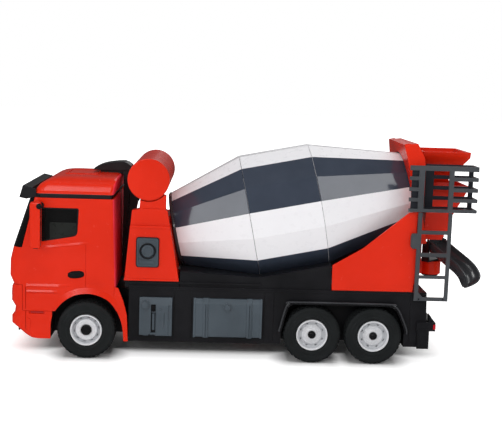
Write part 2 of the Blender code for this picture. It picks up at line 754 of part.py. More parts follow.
# outlines of (x, z)
WHEEL_ARCH = [
    (-241.3, BELOW), (-241.3, 30), (-240.6, 36), (-238.1, 42.4), (-231, 51.5), (-221, 58.4),
    (-209.5, 60.9), (-199, 59.6), (-189, 54.8), (-181.1, 45.1), (-176, 32), (-174.4, 16),
    (-174.3, BELOW)]
BUMPER_ZONE = [(-290, BELOW), (-290, 67.6), (-266.9, 67.6), (-266.9, 43.5), (-240, 43.5),
               (-240, BELOW)]
SHELL_ZONE = [(-290, 67.9), (-290, 102.4), (-267.3, 102.4), (-256.8, 145.6), (-255.6, 150),
              (-160, 150), (-160, 43.8), (-266.6, 43.8), (-266.6, 67.9)]
SCREEN_ZONE = [(-290, 102.7), (-290, 148), (-256.8, 148), (-267.7, 102.7)]
WINDOW = [(-250.4, 108.1), (-250.6, 138.4), (-249.2, 139.6), (-217.2, 139.5),
          (-216.2, 138.2), (-217.2, 118), (-220.5, 113.6)]
FLARE = [(-182.5, 67.2), (-179.8, 66.6), (-175, 54.5), (-171.6, 41.3), (-170.5, 16.7),
         (-174.4, 16.7), (-176, 32), (-181.1, 45.1), (-184.5, 50)]
HANDLE_RECESS = [(-226.2, 75.2), (-225.6, 79.8), (-222, 81.6), (-211.8, 82.5),
                 (-210.3, 81.2), (-210.6, 76.2), (-212, 74.6), (-225, 74.5)]


def rounded_rect(x0, x1, half_y, z, front_r, rear_r, steps):
    """Level section with front corners of radius front_r and rear corners of rear_r."""
    points = []
    for centre_x, centre_y, radius, start in (
            (x0 + front_r, -half_y + front_r, front_r, 180),
            (x1 - rear_r, -half_y + rear_r, rear_r, 270),
            (x1 - rear_r, half_y - rear_r, rear_r, 0),
            (x0 + front_r, half_y - front_r, front_r, 90)):
        for i in range(steps + 1):
            angle = math.radians(start + 90.0 * i / steps)
            points.append((centre_x + radius * math.cos(angle),
                           centre_y + radius * math.sin(angle), z))
    return points


def cab_back(z):
    """Station of the cab's back, which leans forwards above z = 68."""
    return -182.2 - 2.5 * max(0.0, (z - 68.0) / 80.4)


def cab_solid(depth, through=False):
    """Outer form of the cab moved inwards by depth; through runs it past both ends."""
    sections = [rounded_rect(x + depth, cab_back(z) - depth, CAB_Y - depth, z,
                             11.0 - depth, max(0.8, 2.5 - depth), 4) for z, x in CAB_FRONT]
    if through:
        sections[0] = [(x, y, BELOW) for x, y, _ in sections[0]]
        sections[-1] = [(x, y, 160) for x, y, _ in sections[-1]]
    return loft(sections)


def cab_skin(wall):
    return cut(cab_solid(0), cab_solid(wall, through=True))


def cab_shell():
    shell = common(cab_skin(WALL), wide_prism(SHELL_ZONE, CUT_Y))
    for side in SIDES:
        add(shell, side_prism(FLARE, side, CAB_Y - WALL, CAB_Y))
    cut(shell, wide_prism(WHEEL_ARCH, CUT_Y))
    cut(shell, wide_prism(WINDOW, CUT_Y))
    # wheel arch lip
    lip = band(inset(WHEEL_ARCH, -1.8), WHEEL_ARCH, 44.0)
    for side in SIDES:
        add(shell, side_prism(lip, side, CAB_Y - 1.5, CAB_Y + 0.8))
    # rear door line and handle recess
    for side in SIDES:
        cut(shell, side_box(-209.7, -209.1, side, CAB_Y - 0.5, 62, 61.5, 147))
        cut(shell, side_prism(HANDLE_RECESS, side, CAB_Y - 1.2, 62))
    cut(shell, wide_box(-190, -160, CAB_Y - WALL, BELOW, 66.4))
    # grille slots
    for i in range(4):
        z = 76 + i * 5.4
        cut(shell, wide_box(-285, -278.4, 36, z, z + 2.6))
    return shell


def front_bumper():
    bumper = common(cab_skin(WALL), wide_prism(BUMPER_ZONE, CUT_Y))
    cut(bumper, wide_prism(WHEEL_ARCH, CUT_Y))
    for side in SIDES:
        cut(bumper, side_box(-285, -270, side, 30, 46, 53, 63))
    return cut(bumper, wide_box(-285, -277.2, 24, 31.5, 36.8))


def headlamps():
    """Two lamps joined by a strip behind the bumper."""
    back_x = -273.6
    lamps = wide_box(-275.6, back_x, 46, 56, 60)
    for side in SIDES:
        add(lamps, side_box(-278.3, back_x, side, 30.4, 45.6, 53.4, 62.6))
    return lamps


def glazing():
    """Wrap-round windscreen with a liner inside the shell and raised side windows."""
    glass = common(cab_skin(WALL + 1.0), wide_prism(SCREEN_ZONE, CUT_Y))
    liner = cab_solid(WALL + GAP)
    common(liner, wide_prism([(-290, 97), (-290, 147.6), (-197, 147.6), (-197, 97)], CUT_Y))
    add(glass, liner)
    hollow = cab_solid(WALL + GAP + 1.5)
    common(hollow, wide_prism([(-290, 90), (-290, 145.6), (-190, 145.6), (-190, 90)], CUT_Y))
    cut(glass, hollow)
    for side in SIDES:
        add(glass, side_prism(inset(WINDOW, 0.35), side, 54.5, CAB_Y - 0.5))
    return glass


def interior():
    """Floor, wheel arch liners, seats, dashboard and steering wheel."""
    floor = wide_box(-262, -186, 55, 63.0, 65.0)
    liner = band(inset(WHEEL_ARCH, -2.2), inset(WHEEL_ARCH, -0.8), 17)
    for side in SIDES:
        add(floor, side_prism(liner, side, 27.5, 55))
        add(floor, side_box(-216, -196, side, 10, 44, 64, 84),
            side_box(-201, -192, side, 12, 42, 80, 124))
    add(floor, wide_box(-268, -248, 50, 64, 94))
    wheel_x, wheel_y, wheel_z, wheel_r = -240.5, -28, 101.5, 9
    column = cylinder(1.6, (-252, wheel_y, 92), (-240, wheel_y, 101), 8)
    angles = [math.tau * i / 12 for i in range(12)]
    ring = ring_bar([(wheel_x - wheel_r * 0.55 * math.cos(angle),
                      wheel_y + wheel_r * math.sin(angle),
                      wheel_z + wheel_r * 0.83 * math.cos(angle)) for angle in angles], 1.1)
    spoke = crossbar(1.0, wheel_x, wheel_z, -36.8, -19.2, 8)
    return add(floor, column, spoke, ring)


def visor():
    """Visor over the windscreen, with the plate between the cab and its roof."""
    half_y = 55.3
    hood = wide_prism([(-270.3, 148.0), (-267.1, 158.9), (-258.9, 157.2), (-263.2, 146.6)],
                      half_y)
    cut(hood, wide_prism([(-272, 140), (-267.2, 148.4), (-264.8, 156.6), (-258.0, 155.2),
                          (-262, 140)], half_y - WALL))
    return add(hood, wide_prism([(-266.0, 148.75), (-262.0, 150.1), (-187, 150.1),
                                 (-187, 148.75)], half_y))


# level sections: z, x0, x1, half width, front corner radius
ROOF_SECTIONS = [
    (150.4, -257.4, -185.6, 57.4, 9), (158.6, -255.2, -184.8, 57.0, 9),
    (165.4, -249.8, -183.9, 55.0, 9), (168.9, -244.5, -183.4, 51.0, 8),
    (171.2, -238.8, -184.6, 45.0, 8), (172.2, -232.0, -187.5, 36.0, 7)]


def roof():
    outer, inner = [], []
    for z, x0, x1, half_y, front_r in ROOF_SECTIONS:
        outer.append(rounded_rect(x0, x1, half_y, z, front_r, 3.0, 3))
        inner.append(rounded_rect(x0 + WALL, x1 - WALL, half_y - WALL, z - WALL,
                                  front_r - 1.5, 1.5, 3))
    shell = loft(outer)
    inner[0] = [(x, y, 145.0) for x, y, _ in inner[0]]
    cut(shell, loft(inner))
    # square panel standing in a shallow recess
    cut(shell, wide_box(-233, -205, 17, 171.7, 175))
    return add(shell, wide_box(-231.8, -206.2, 15.8, 170.8, 172.6))


def mirror(side):
    stalk_x, stalk_z = -250.6, 141.8
    head = side_box(-258.3, -248.5, side, 63.5, 72, 104.2, 145.8)
    cut(head, side_box(-249.4, -247, side, 64.6, 70.9, 106, 144))
    return add(head, crossbar(3.0, stalk_x, stalk_z, side * 58.4, side * 62.0, 12),
               cylinder(1.9, (stalk_x, side * 61.0, stalk_z), (-252.5, side * 65, stalk_z), 10))


# x, z
INTAKE_SIDE = [
    (-181.4, 70), (-181.8, 174.5), (-177, 174.5), (-173.6, 174.5), (-173.6, 158),
    (-168.8, 152), (-167.8, 147.5), (-167.8, 142.5), (-169.6, 138), (-171, 124.5),
    (-175.6, 76), (-175.6, 70)]
INTAKE_CAP = [
    (-210.5, 172.9), (-209.5, 174.6), (-203, 177.4), (-195, 178.8), (-181.5, 179.5),
    (-174.6, 176.4), (-173.4, 172.9)]
INTAKE_INSIDE = [
    (-179.6, 65), (-180, 170.6), (-175.4, 170.6), (-175.4, 157.4), (-170.6, 151.2),
    (-169.8, 143.2), (-171.6, 138.5), (-173, 124.5), (-177.4, 76), (-177.4, 65)]


def intake():
    duct = wide_prism(INTAKE_SIDE, 20)
    add(duct, wide_prism(INTAKE_CAP, 23))
    return cut(duct, wide_prism(INTAKE_INSIDE, 18))


finish(cab_shell(), "cab_shell", "red_plastic")
finish(front_bumper(), "front_bumper", "red_plastic")
finish(headlamps(), "headlamp_insert", "lamp_clear")
finish(glazing(), "cab_glazing", "window_tint")
finish(interior(), "cab_interior", "black_plastic")
finish(visor(), "sun_visor", "black_plastic")
finish(roof(), "cab_roof", "red_plastic")
for mirror_side, mirror_name in SIDE_NAMES:
    finish(mirror(mirror_side), "mirror_" + mirror_name, "red_plastic")
finish(intake(), "air_intake", "black_plastic")

# ================================================================= pedestal and tank
TANK_X, TANK_Z = -153.8, 167.2
BUTTON_X, BUTTON_Z = -153.4, 102
# outlines of (x, z)
PEDESTAL_SIDE = [(-174.6, 74.1), (-169.9, 124.4), (-133.6, 124.0), (-124.5, 74.1)]
PEDESTAL_INSIDE = [(-172.8, 66), (-172.6, 74), (-168.2, 122.4), (-135.4, 122.0),
                   (-126.8, 74), (-126.8, 66)]
GEAR_HOUSING = [(-147.5, 118), (-147.5, 129.2), (-134.8, 129.2), (-132.8, 118)]
GEAR_HOUSING_INSIDE = [(-145.5, 115), (-145.5, 127.4), (-137.0, 127.4), (-135.2, 115)]
LEFT_SUPPORT = [(-169.9, 124.0), (-168.4, 138.9), (-161.3, 140.2), (-161.3, 153.0),
                (-137.8, 153.0), (-137.8, 139.8), (-136.2, 138.6), (-133.7, 124.0)]
RIGHT_SUPPORT = [(-169.9, 124.0), (-168.4, 138.9), (-161.3, 140.2), (-161.3, 153.0),
                 (-144.8, 153.0), (-144.8, 134), (-142.0, 124.0)]


def pedestal():
    base = wide_prism(PEDESTAL_SIDE, BODY_Y)
    # housing over the top of the drum gear
    add(base, wide_prism(GEAR_HOUSING, 18))
    # supports under the ends of the water tank
    left = prism(LEFT_SUPPORT, -55.8, -45.8)
    cut(left, prism(inset(LEFT_SUPPORT, 2.2), -54.0, -40))
    add(base, left)
    add(base, prism(RIGHT_SUPPORT, 45.8, 55.8))
    cut(base, wide_prism(PEDESTAL_INSIDE, 55))
    cut(base, wide_prism(GEAR_HOUSING_INSIDE, 16))
    cut(base, cylinder(20.2, (TANK_X, -CUT_Y, TANK_Z), (TANK_X, CUT_Y, TANK_Z), 32,
                       turn=180 / 32))
    cut(base, drum_cylinder(5.2, -100, -113, 16))
    return cut(base, crossbar(6.3, BUTTON_X, BUTTON_Z, -60, -50))


def water_tank():
    tank = crossbar(19.1, TANK_X, TANK_Z, -56.8, 56.8, 32)
    recesses = [crossbar(17.2, TANK_X, TANK_Z, side * 58, side * 56.2, 32) for side in SIDES]
    return cut(tank, *recesses)


def control_panel():
    panel = box(-163.3, -143.8, -58.9, -57.3, 87.6, 113.9)
    return cut(panel, crossbar(6.2, BUTTON_X, BUTTON_Z, -60, -56, 20),
               box(-160, -147, -60, -58.2, 91, 93.6))


def start_button():
    return crossbar(5.8, BUTTON_X, BUTTON_Z, -59.8, -54, 20)


finish(pedestal(), "pedestal", "red_plastic")
finish(water_tank(), "water_tank", "red_plastic")
finish(control_panel(), "control_panel", "grey_plastic")
finish(start_button(), "start_button", "grey_plastic", (BUTTON_X, -57, BUTTON_Z))

# ================================================================= drum
drum_frame = joint("drum_frame", drum_point(0))
# name, front end, its radius, rear end, its radius
DRUM_SECTIONS = [
    ("drum_front_cone", DRUM_FRONT_S + 0.2, DRUM_FRONT_R, -DRUM_HALF - GAP / 2, DRUM_R),
    ("drum_middle", -DRUM_HALF + GAP / 2, DRUM_R, DRUM_HALF - GAP / 2, DRUM_R),
    ("drum_rear_cone", DRUM_HALF + GAP / 2, DRUM_R, DRUM_MOUTH_S, DRUM_MOUTH_R)]


def drum_section(front, front_r, rear, rear_r):
    """Many-sided cone shell, corners half a facet off the top."""
    return drum_turned([(front_r, front), (rear_r, rear), (rear_r - WALL, rear),
                        (front_r - WALL, front)], FACETS, FACET_TURN)


def drum_gear(teeth, width, up, phase):
    """Gear square to the drum axis: local X up, local Z towards the cab."""
    matrix = frame(DRUM_UP, (-DRUM_AXIS).cross(DRUM_UP), -DRUM_AXIS,
                   drum_point(DRUM_GEAR_S, up))
    return outline(gear_outline(teeth, DRUM_MODULE, phase), width, matrix)


def drum_gear_cap():
    front, rear = -106.4, DRUM_FRONT_S - 0.1
    profile = [(0, front), (35.6, front), (DRUM_FRONT_R, -105.4), (DRUM_FRONT_R, rear), (0, rear)]
    cap = drum_turned(profile, FACETS, FACET_TURN, closed=False)
    return add(cap, drum_cylinder(4.0, -105.5, -118.0, 16),
               drum_gear(DRUM_TEETH, 5.0, 0, math.pi))


def drum_pinion():
    gear = drum_gear(PINION_TEETH, 5.6, -PINION_DROP, math.pi / PINION_TEETH)
    return cut(gear, drum_cylinder(1.3, -108, -121, 10, -PINION_DROP))


def drum_motor():
    motor = drum_cylinder(9.0, -119.5, -141.5, 20, -PINION_DROP)
    return add(motor, drum_cylinder(0.95, -112.2, -122, 8, -PINION_DROP),
               drum_cylinder(3.0, -118.3, -120, 12, -PINION_DROP))


for section_name, *section_sizes in DRUM_SECTIONS:
    finish(drum_section(*section_sizes), section_name, "white_plastic", drum_point(0), drum_frame)
finish(drum_gear_cap(), "drum_gear_cap", "dark_grey_plastic", drum_point(0), drum_frame)
finish(drum_pinion(), "drum_pinion", "nylon", drum_point(DRUM_GEAR_S, -PINION_DROP))
finish(drum_motor(), "drum_motor", "steel")

# ================================================================= rear frame, hood, hopper
# outlines of (x, z)
REAR_SIDE = [(16.9, 69.4), (16.6, 92.7), (44.3, 109.2), (85.7, 143.8), (92.8, 144.0),
             (92.9, 78), (91.9, 69.4)]
SADDLE = [(88.5, 69.4), (88.5, 104), (98.7, 110.9), (104.4, 112.0), (104.4, 69.4)]
SADDLE_INSIDE = [(90.5, 65), (90.5, 102.8), (99.2, 108.8), (102.4, 109.4), (102.4, 65)]
HOOD_COVER = [(85.5, 184), (81.0, 205.1), (93.1, 206.2), (99.0, 192.6), (99.0, 184)]
# y, distance up from the drum axis
HOOD_ARCH = [(-50, -45.5), (50, -45.5), (50, 26.6), (47.5, 37), (41.7, 48.2),
             (-41.7, 48.2), (-47.5, 37), (-50, 26.6)]
HOOD_HOLE_R = 38.3


def rear_frame():
    left, right = [side_prism(REAR_SIDE, side, BODY_Y - WALL, BODY_Y) for side in SIDES]
    cross_wall = wide_box(90.2, 92.2, 55.6, 69.4, 104)
    saddle = wide_prism(SADDLE, 22)
    cut(saddle, wide_prism(SADDLE_INSIDE, 20))
    add(left, right, cross_wall, saddle)
    return cut(left, wide_box(86, 89.9, 20, 65, 102), wide_box(92.5, 95, 20, 65, 69.2))


def hood():
    """Plate round the drum's mouth with a cover over its top."""
    angles = [math.tau * i / 32 for i in range(32)]
    hole = [(HOOD_HOLE_R * math.cos(angle), HOOD_HOLE_R * math.sin(angle)) for angle in angles]
    face = drum_slab([HOOD_ARCH, hole], 5.5, 121.75)
    cover = drum_slab([HOOD_ARCH], 24, 132)
    common(cover, wide_prism(HOOD_COVER, 60))
    cut(cover, drum_cylinder(HOOD_HOLE_R, 110, 150, 32))
    return add(face, cover)


def hopper():
    funnel = rect_loft((110, 130, 13, 168), (108, 131, 16, 178), (103.4, 139.8, 24, 185),
                       (100.9, 146.0, 29, 193), (100.9, 146.4, 29.4, 198.2))
    cut(funnel, rect_loft((111.8, 128.2, 11.2, 164), (109.8, 129.2, 14.2, 178.4),
                          (105.2, 138.0, 22.2, 186), (102.7, 144.2, 27.2, 193.6),
                          (102.7, 144.6, 27.6, 202)))
    return cut(funnel, drum_block(40, 114.0))


def collector():
    funnel = rect_loft((109.7, 135.5, 14, 119.5), (109.7, 135.5, 14, 135),
                       (108.5, 147, 26, 163.5), (108.5, 147, 26, 166.4))
    cut(funnel, rect_loft((111.7, 133.5, 12, 121.3), (111.7, 133.5, 12, 135.6),
                          (107.5, 145.2, 24, 163.8), (107.5, 145.2, 24, 170)))
    # outlet and the short neck below it
    outlet_x0, outlet_x1, outlet_y = 112.2, 127.7, 10.2
    cut(funnel, wide_box(outlet_x0, outlet_x1, outlet_y, 110, 125))
    # bracket down to the swivel bearing
    add(funnel, wide_box(104.8, 109.9, 5, 77, 122))
    neck = rect_loft((110.4, 129.5, 12, 114.6), (110.4, 129.5, 12, 121))
    cut(neck, rect_loft((outlet_x0, outlet_x1, outlet_y, 110),
                        (outlet_x0, outlet_x1, outlet_y, 125)))
    add(funnel, neck)
    bearing = post(10.0, CHUTE_X, 0, 77, 90, 24)
    add(bearing, wide_box(106, 114, 5, 77, 90))
    cut(bearing, post(5.0, CHUTE_X, 0, 79, 95, 20))
    add(funnel, bearing)
    return cut(funnel, drum_block(20, 114.8))


finish(rear_frame(), "rear_frame", "red_plastic")
finish(hood(), "rear_hood", "red_plastic")
finish(hopper(), "filling_hopper", "red_plastic")
finish(collector(), "discharge_collector", "red_plastic")

# ================================================================= chute
HEADING = math.radians(CHUTE_YAW)
OUTWARDS = Vector((math.cos(HEADING), math.sin(HEADING), 0))
SIDEWAYS = Vector((-math.sin(HEADING), math.cos(HEADING), 0))
# upper edge of the trough: distance out from the swivel axis, z
CHUTE_PATH = [(3.5, 111.4), (42.5, 89.8), (49.0, 80.6)]
CHEEK = [(0.2, 90.4), (8.0, 90.4), (7.6, 108), (6.0, 110.2), (2.0, 110.2), (0.4, 108)]


def chute_point(out, across, z):
    point = Vector((CHUTE_X, 0, 0)) + OUTWARDS * out + SIDEWAYS * across
    return (point.x, point.y, z)


def tilt_pin(radius, side, across0, across1):
    return cylinder(radius, chute_point(TILT_U, side * across0, TILT_Z),
                    chute_point(TILT_U, side * across1, TILT_Z), 12)


def trough(path, radius, wall, steps=8):
    """Half pipe swept along a path of (out, z) edge points, mitred at the bends."""
    sections = []
    last = len(path) - 1
    for i, (out, z) in enumerate(path):
        before = Vector(path[max(0, i - 1)])
        after = Vector(path[min(last, i + 1)])
        if 0 < i < last:
            arriving = (Vector(path[i]) - before).normalized()
            leaving = (after - Vector(path[i])).normalized()
            tangent = (arriving + leaving).normalized()
            stretch = 1 / max(0.5, tangent.dot(arriving))
        else:
            tangent = (after - before).normalized()
            stretch = 1.0
        ring = []
        for arc_r, order in ((radius, range(steps + 1)), (radius - wall, range(steps, -1, -1))):
            for j in order:
                angle = math.pi * j / steps
                across = arc_r * math.cos(angle)
                depth = -arc_r * math.sin(angle) * stretch
                ring.append(chute_point(out - tangent.y * depth, across, z + tangent.x * depth))
        sections.append(ring)
    return loft(sections)


def chute():
    half_pipe = trough(CHUTE_PATH, 13.35, 1.8)
    for side in SIDES:
        add(half_pipe, tilt_pin(1.6, side, 11.4, 16.2))
    return half_pipe


def swivel():
    pivot = post(4.6, CHUTE_X, 0, 79.6, 91.5, 20)
    # local X out along the chute, local Y up
    upwards = Vector((0, 0, 1))
    matrix = frame(OUTWARDS, upwards, OUTWARDS.cross(upwards), (CHUTE_X, 0, 0))
    # base plate, widened under the two cheeks either side of the chute
    for inner, width in ((-4.6, 9.0), (0.2, 33.2)):
        add(pivot, outline([(inner, 90.4), (8.0, 90.4), (8.0, 92.0), (inner, 92.0)], width, matrix))
    for side in SIDES:
        offset = Matrix.Translation(SIDEWAYS * (side * 15.5 * MILLI))
        add(pivot, outline(CHEEK, 2.2, offset @ matrix))
        cut(pivot, tilt_pin(1.95, side, 13.8, 19))
    return pivot


swivel_origin = (CHUTE_X, 0, 90)
tilt_origin = chute_point(TILT_U, 0, TILT_Z)
swivel_frame = joint("chute_swivel_frame", swivel_origin)
tilt_frame = joint("chute_tilt_frame", tilt_origin)
tilt_frame.parent = swivel_frame
tilt_frame.location = tilt_frame.location - swivel_frame.location
finish(swivel(), "chute_swivel", "black_plastic", swivel_origin, swivel_frame)
finish(chute(), "discharge_chute", "dark_grey_plastic", tilt_origin, tilt_frame)

# ================================================================= ladder and platform
OUTER_Y = (-61, -58.6)         # ladder and outer railing
INNER_Y = (-42.2, -40)         # inner railing
RAIL_Z = ((145, 148), (154.6, 158), (164.1, 167.6), (174.1, 177.6), (183.1, 187.6))
RAIL_BOTTOM, RAIL_TOP = 145, 187.6
LADDER_Z = (62, 144.6)
RUNG_X = (95, 122)
# x, z
LADDER_BRACKET = [(87.4, 113), (89, 110.8), (94, 110.8), (94, 124.9), (88.4, 124.9), (87.4, 122)]


def ladder():
    frame_bars = box(92.9, 96.8, *OUTER_Y, *LADDER_Z)
    add(frame_bars, box(120.9, 124.5, *OUTER_Y, *LADDER_Z))
    for z0, z1 in ((62, 65.5), (83, 86), (103.4, 107.2), (124.5, 128)):
        add(frame_bars, box(*RUNG_X, *OUTER_Y, z0, z1))
    add(frame_bars, prism([(96.5, 65), (101.5, 65), (96.5, 70.5)], *OUTER_Y))
    return add(frame_bars, prism(LADDER_BRACKET, -61, -57.3))


def platform_rail():
    floor = box(99.4, 146.5, -61, -40, 145, 147)
    for z0, z1 in RAIL_Z:
        add(floor, box(83.4, 93, *OUTER_Y, z0, z1), box(122, 146.5, *OUTER_Y, z0, z1),
            box(103, 146.5, *INNER_Y, z0, z1), box(144.2, 146.5, -60.5, -40.5, z0, z1))
    # outer posts, then the bars that join them at the top and bottom
    for x0, x1 in ((91.7, 97), (119.6, 124)):
        add(floor, box(x0, x1, *OUTER_Y, RAIL_BOTTOM, RAIL_TOP))
    for z0, z1 in (RAIL_Z[-1], RAIL_Z[0]):
        add(floor, box(95, 121, *OUTER_Y, z0, z1))
    # inner posts
    for x0, x1 in ((142.4, 146.5), (102, 109.5)):
        add(floor, box(x0, x1, *INNER_Y, RAIL_BOTTOM, RAIL_TOP))
    return floor


finish(ladder(), "access_ladder", "grey_plastic")
finish(platform_rail(), "platform_rail", "grey_plastic")
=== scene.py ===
# Looks of a toy cement mixer truck. The loaded frame carries the motion; each visible piece is
# modelled here at full detail in the same coordinates, with procedural materials.
# The cab faces -X, left is -Y and Z is up, with the wheels standing on z = 0. Pieces are drawn
# in mm, with x as a station measured from the leading rear axle.
import json
import math
import bpy
import bmesh
from mathutils import Vector, Matrix


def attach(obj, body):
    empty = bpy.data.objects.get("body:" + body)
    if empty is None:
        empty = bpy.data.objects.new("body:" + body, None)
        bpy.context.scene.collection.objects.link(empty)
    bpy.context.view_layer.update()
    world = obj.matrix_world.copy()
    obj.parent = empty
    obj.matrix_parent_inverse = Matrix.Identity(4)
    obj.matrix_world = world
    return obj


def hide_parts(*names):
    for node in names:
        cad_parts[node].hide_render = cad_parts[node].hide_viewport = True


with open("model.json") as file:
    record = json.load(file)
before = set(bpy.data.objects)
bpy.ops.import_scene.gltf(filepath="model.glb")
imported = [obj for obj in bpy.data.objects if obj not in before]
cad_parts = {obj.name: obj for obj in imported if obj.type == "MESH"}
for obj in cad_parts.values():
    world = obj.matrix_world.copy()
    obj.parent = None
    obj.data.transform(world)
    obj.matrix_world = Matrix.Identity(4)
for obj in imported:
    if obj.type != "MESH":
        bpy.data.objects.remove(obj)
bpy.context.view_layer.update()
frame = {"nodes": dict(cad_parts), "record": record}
BODY_OF = {name: body for body, names in frame["record"]["behaviour"]["bodies"].items()
           for name in names}
SLOT_OF = {part["node"]: part["material_slot"] for part in frame["record"]["subparts"]}

# ================================================================= driving sizes, mm and degrees
MM = 0.001
DX = 57.7              # leading rear axle to the middle of the truck's length
GAP = 0.3              # clearance between neighbouring pieces
WELD = 0.00001         # points closer than this are merged, in metres
TYRE_R = 26.75
TRACK = 50.0           # half track, centre of the truck to the centre of a tyre
AXLE_F = -208.7        # station of the front axle
AXLE_1 = 0.0           # station of the leading rear axle
AXLE_2 = 57.4          # station of the trailing rear axle
KING_Y = 36.0          # kingpin half track
BORE_R = 1.85          # bore round an axle
BODY_Y = 57.0          # half width of the chassis and the red side panels
CAB_Y = 58.0           # half width of the cab
WALL = 2.0             # wall of the plastic shells
DRUM_TILT = 11.5       # drum axis, up towards the tail
DRUM_X, DRUM_Z = -26.7, 134.2   # a point on the drum axis
DRUM_R = 61.0          # radius over the corners, middle section
DRUM_HALF = 33.2       # half length of the middle section
DRUM_FRONT_S, DRUM_FRONT_R = -103.4, 37.0   # front end: distance along the axis, radius
DRUM_MOUTH_S, DRUM_MOUTH_R = 128.0, 35.1    # open mouth
DRUM_GAP = 0.15        # from the end of a drum section to the joint
FACETS = 16            # flat sides round the drum
DRUM_TURN = 90 + 180.0 / FACETS
CHUTE_X = 120.3        # swivel axis of the chute
CHUTE_YAW = -45.0      # rest heading of the chute, from +X
TILT_U, TILT_Z = 4.0, 107.0     # tilt pin of the chute, out from the swivel axis and up
SIDES = ((-1, "left"), (1, "right"))
SHAPE = {}             # detailed shape of each CAD node


# ================================================================= shape helpers
def metres(x, y, z):
    """A point in station mm as a point in the scene."""
    return ((x + DX) * MM, y * MM, z * MM)


def tidy(mesh):
    """Weld, merge coplanar faces and point every face outwards."""
    bm = bmesh.new()
    bm.from_mesh(mesh)
    bmesh.ops.remove_doubles(bm, verts=bm.verts, dist=WELD)
    bmesh.ops.dissolve_degenerate(bm, edges=bm.edges, dist=WELD)
    bmesh.ops.dissolve_limit(bm, angle_limit=math.radians(0.3), use_dissolve_boundaries=False,
                             verts=bm.verts, edges=bm.edges, delimit=set())
    bmesh.ops.recalc_face_normals(bm, faces=bm.faces)
    bm.to_mesh(mesh)
    bm.free()
    mesh.update()


def link(name, data):
    ob = bpy.data.objects.new(name, data)
    bpy.context.scene.collection.objects.link(ob)
    return ob


def link_bmesh(name, bm):
    mesh = bpy.data.meshes.new(name)
    bm.to_mesh(mesh)
    bm.free()
    return link(name, mesh)


def evaluated_mesh(ob):
    bpy.context.view_layer.update()
    graph = bpy.context.evaluated_depsgraph_get()
    return bpy.data.meshes.new_from_object(ob.evaluated_get(graph), depsgraph=graph)


def baked(source, matrix):
    """Evaluated mesh of source moved by matrix, as a new object; source is removed."""
    mesh = evaluated_mesh(source)
    mesh.transform(matrix)
    name = source.name
    bpy.data.objects.remove(source, do_unlink=True)
    tidy(mesh)
    return link(name, mesh)


def box(x0, x1, y0, y1, z0, z1):
    bm = bmesh.new()
    size = Matrix.Diagonal((abs(x1 - x0) * MM, abs(y1 - y0) * MM, abs(z1 - z0) * MM, 1.0))
    middle = Matrix.Translation(((x0 + x1) / 2 * MM + DX * MM, (y0 + y1) / 2 * MM,
                                 (z0 + z1) / 2 * MM))
    bmesh.ops.create_cube(bm, size=1.0, matrix=middle @ size)
    return link_bmesh("box", bm)


def boxes(*rows):
    """Boxes from rows of x0, x1, y0, y1, z0, z1."""
    return [box(*row) for row in rows]


def side_box(side, x0, x1, y0, y1, z0, z1):
    """Box at |y| from y0 to y1 on one side."""
    return box(x0, x1, side * y0, side * y1, z0, z1)


def side_boxes(side, *rows):
    return [side_box(side, *row) for row in rows]


# local axes of an outline drawn in each main plane
PLANE = {
    "XZ": Matrix(((1, 0, 0, 0), (0, 0, -1, 0), (0, 1, 0, 0), (0, 0, 0, 1))),
    "YZ": Matrix(((0, 0, 1, 0), (1, 0, 0, 0), (0, 1, 0, 0), (0, 0, 0, 1))),
}


def outline(loops, depth, matrix):
    """Flat outline (one loop, or an outer loop and holes) with a depth along local Z."""
    if not isinstance(loops[0][0], (tuple, list)):
        loops = [loops]
    curve = bpy.data.curves.new("outline", "CURVE")
    curve.dimensions = "2D"
    curve.fill_mode = "BOTH"
    curve.extrude = abs(depth) / 2 * MM
    for loop in loops:
        spline = curve.splines.new("POLY")
        spline.points.add(len(loop) - 1)
        for point, (a, b) in zip(spline.points, loop):
            point.co = (a * MM, b * MM, 0.0, 1.0)
        spline.use_cyclic_u = True
    return baked(link("outline", curve), matrix)


def level_plate(loops, depth, z):
    """Horizontal plate with its middle at height z."""
    return outline(loops, depth, Matrix.Translation((DX * MM, 0, z * MM)))


def prism(loops, start, end, plane="XZ"):
    """Outline in a main plane, swept from start to end along the third axis."""
    middle = (start + end) / 2 * MM
    move = {"XZ": (DX * MM, middle, 0), "YZ": (middle + DX * MM, 0, 0)}[plane]
    return outline(loops, end - start, Matrix.Translation(move) @ PLANE[plane])


def side_prism(side, loops, y0, y1):
    return prism(loops, side * y0, side * y1)


def placed(origin, x_axis, y_axis, z_axis):
    """Matrix of a local frame with its origin in station mm."""
    matrix = Matrix((x_axis, y_axis, z_axis)).transposed().to_4x4()
    matrix.translation = Vector(metres(*origin))
    return matrix


def along(origin, axis, up=(0, 0, 1)):
    """Local frame with local Z along axis and local Y near up."""
    z = Vector(axis).normalized()
    x = Vector(up).cross(z)
    if x.length < 1e-6:
        x = Vector((1, 0, 0))
    x.normalize()
    return placed(origin, x, z.cross(x), z)


def spin(degrees):
    return Matrix.Rotation(math.radians(degrees), 4, "Z")


def turned(profile, origin, axis, segments=96, closed=True, up=(0, 0, 1), turn=0.0):
    """Profile of (radius, height) points turned about the axis."""
    mesh = bpy.data.meshes.new("turned")
    count = len(profile)
    edges = [(i, (i + 1) % count) for i in range(count if closed else count - 1)]
    mesh.from_pydata([(r * MM, 0.0, h * MM) for r, h in profile], edges, [])
    ob = link("turned", mesh)
    screw = ob.modifiers.new("turn", "SCREW")
    screw.axis = "Z"
    screw.angle = math.tau
    screw.steps = segments
    screw.render_steps = segments
    screw.use_merge_vertices = True
    screw.merge_threshold = WELD
    return baked(ob, along(origin, axis, up) @ spin(turn))


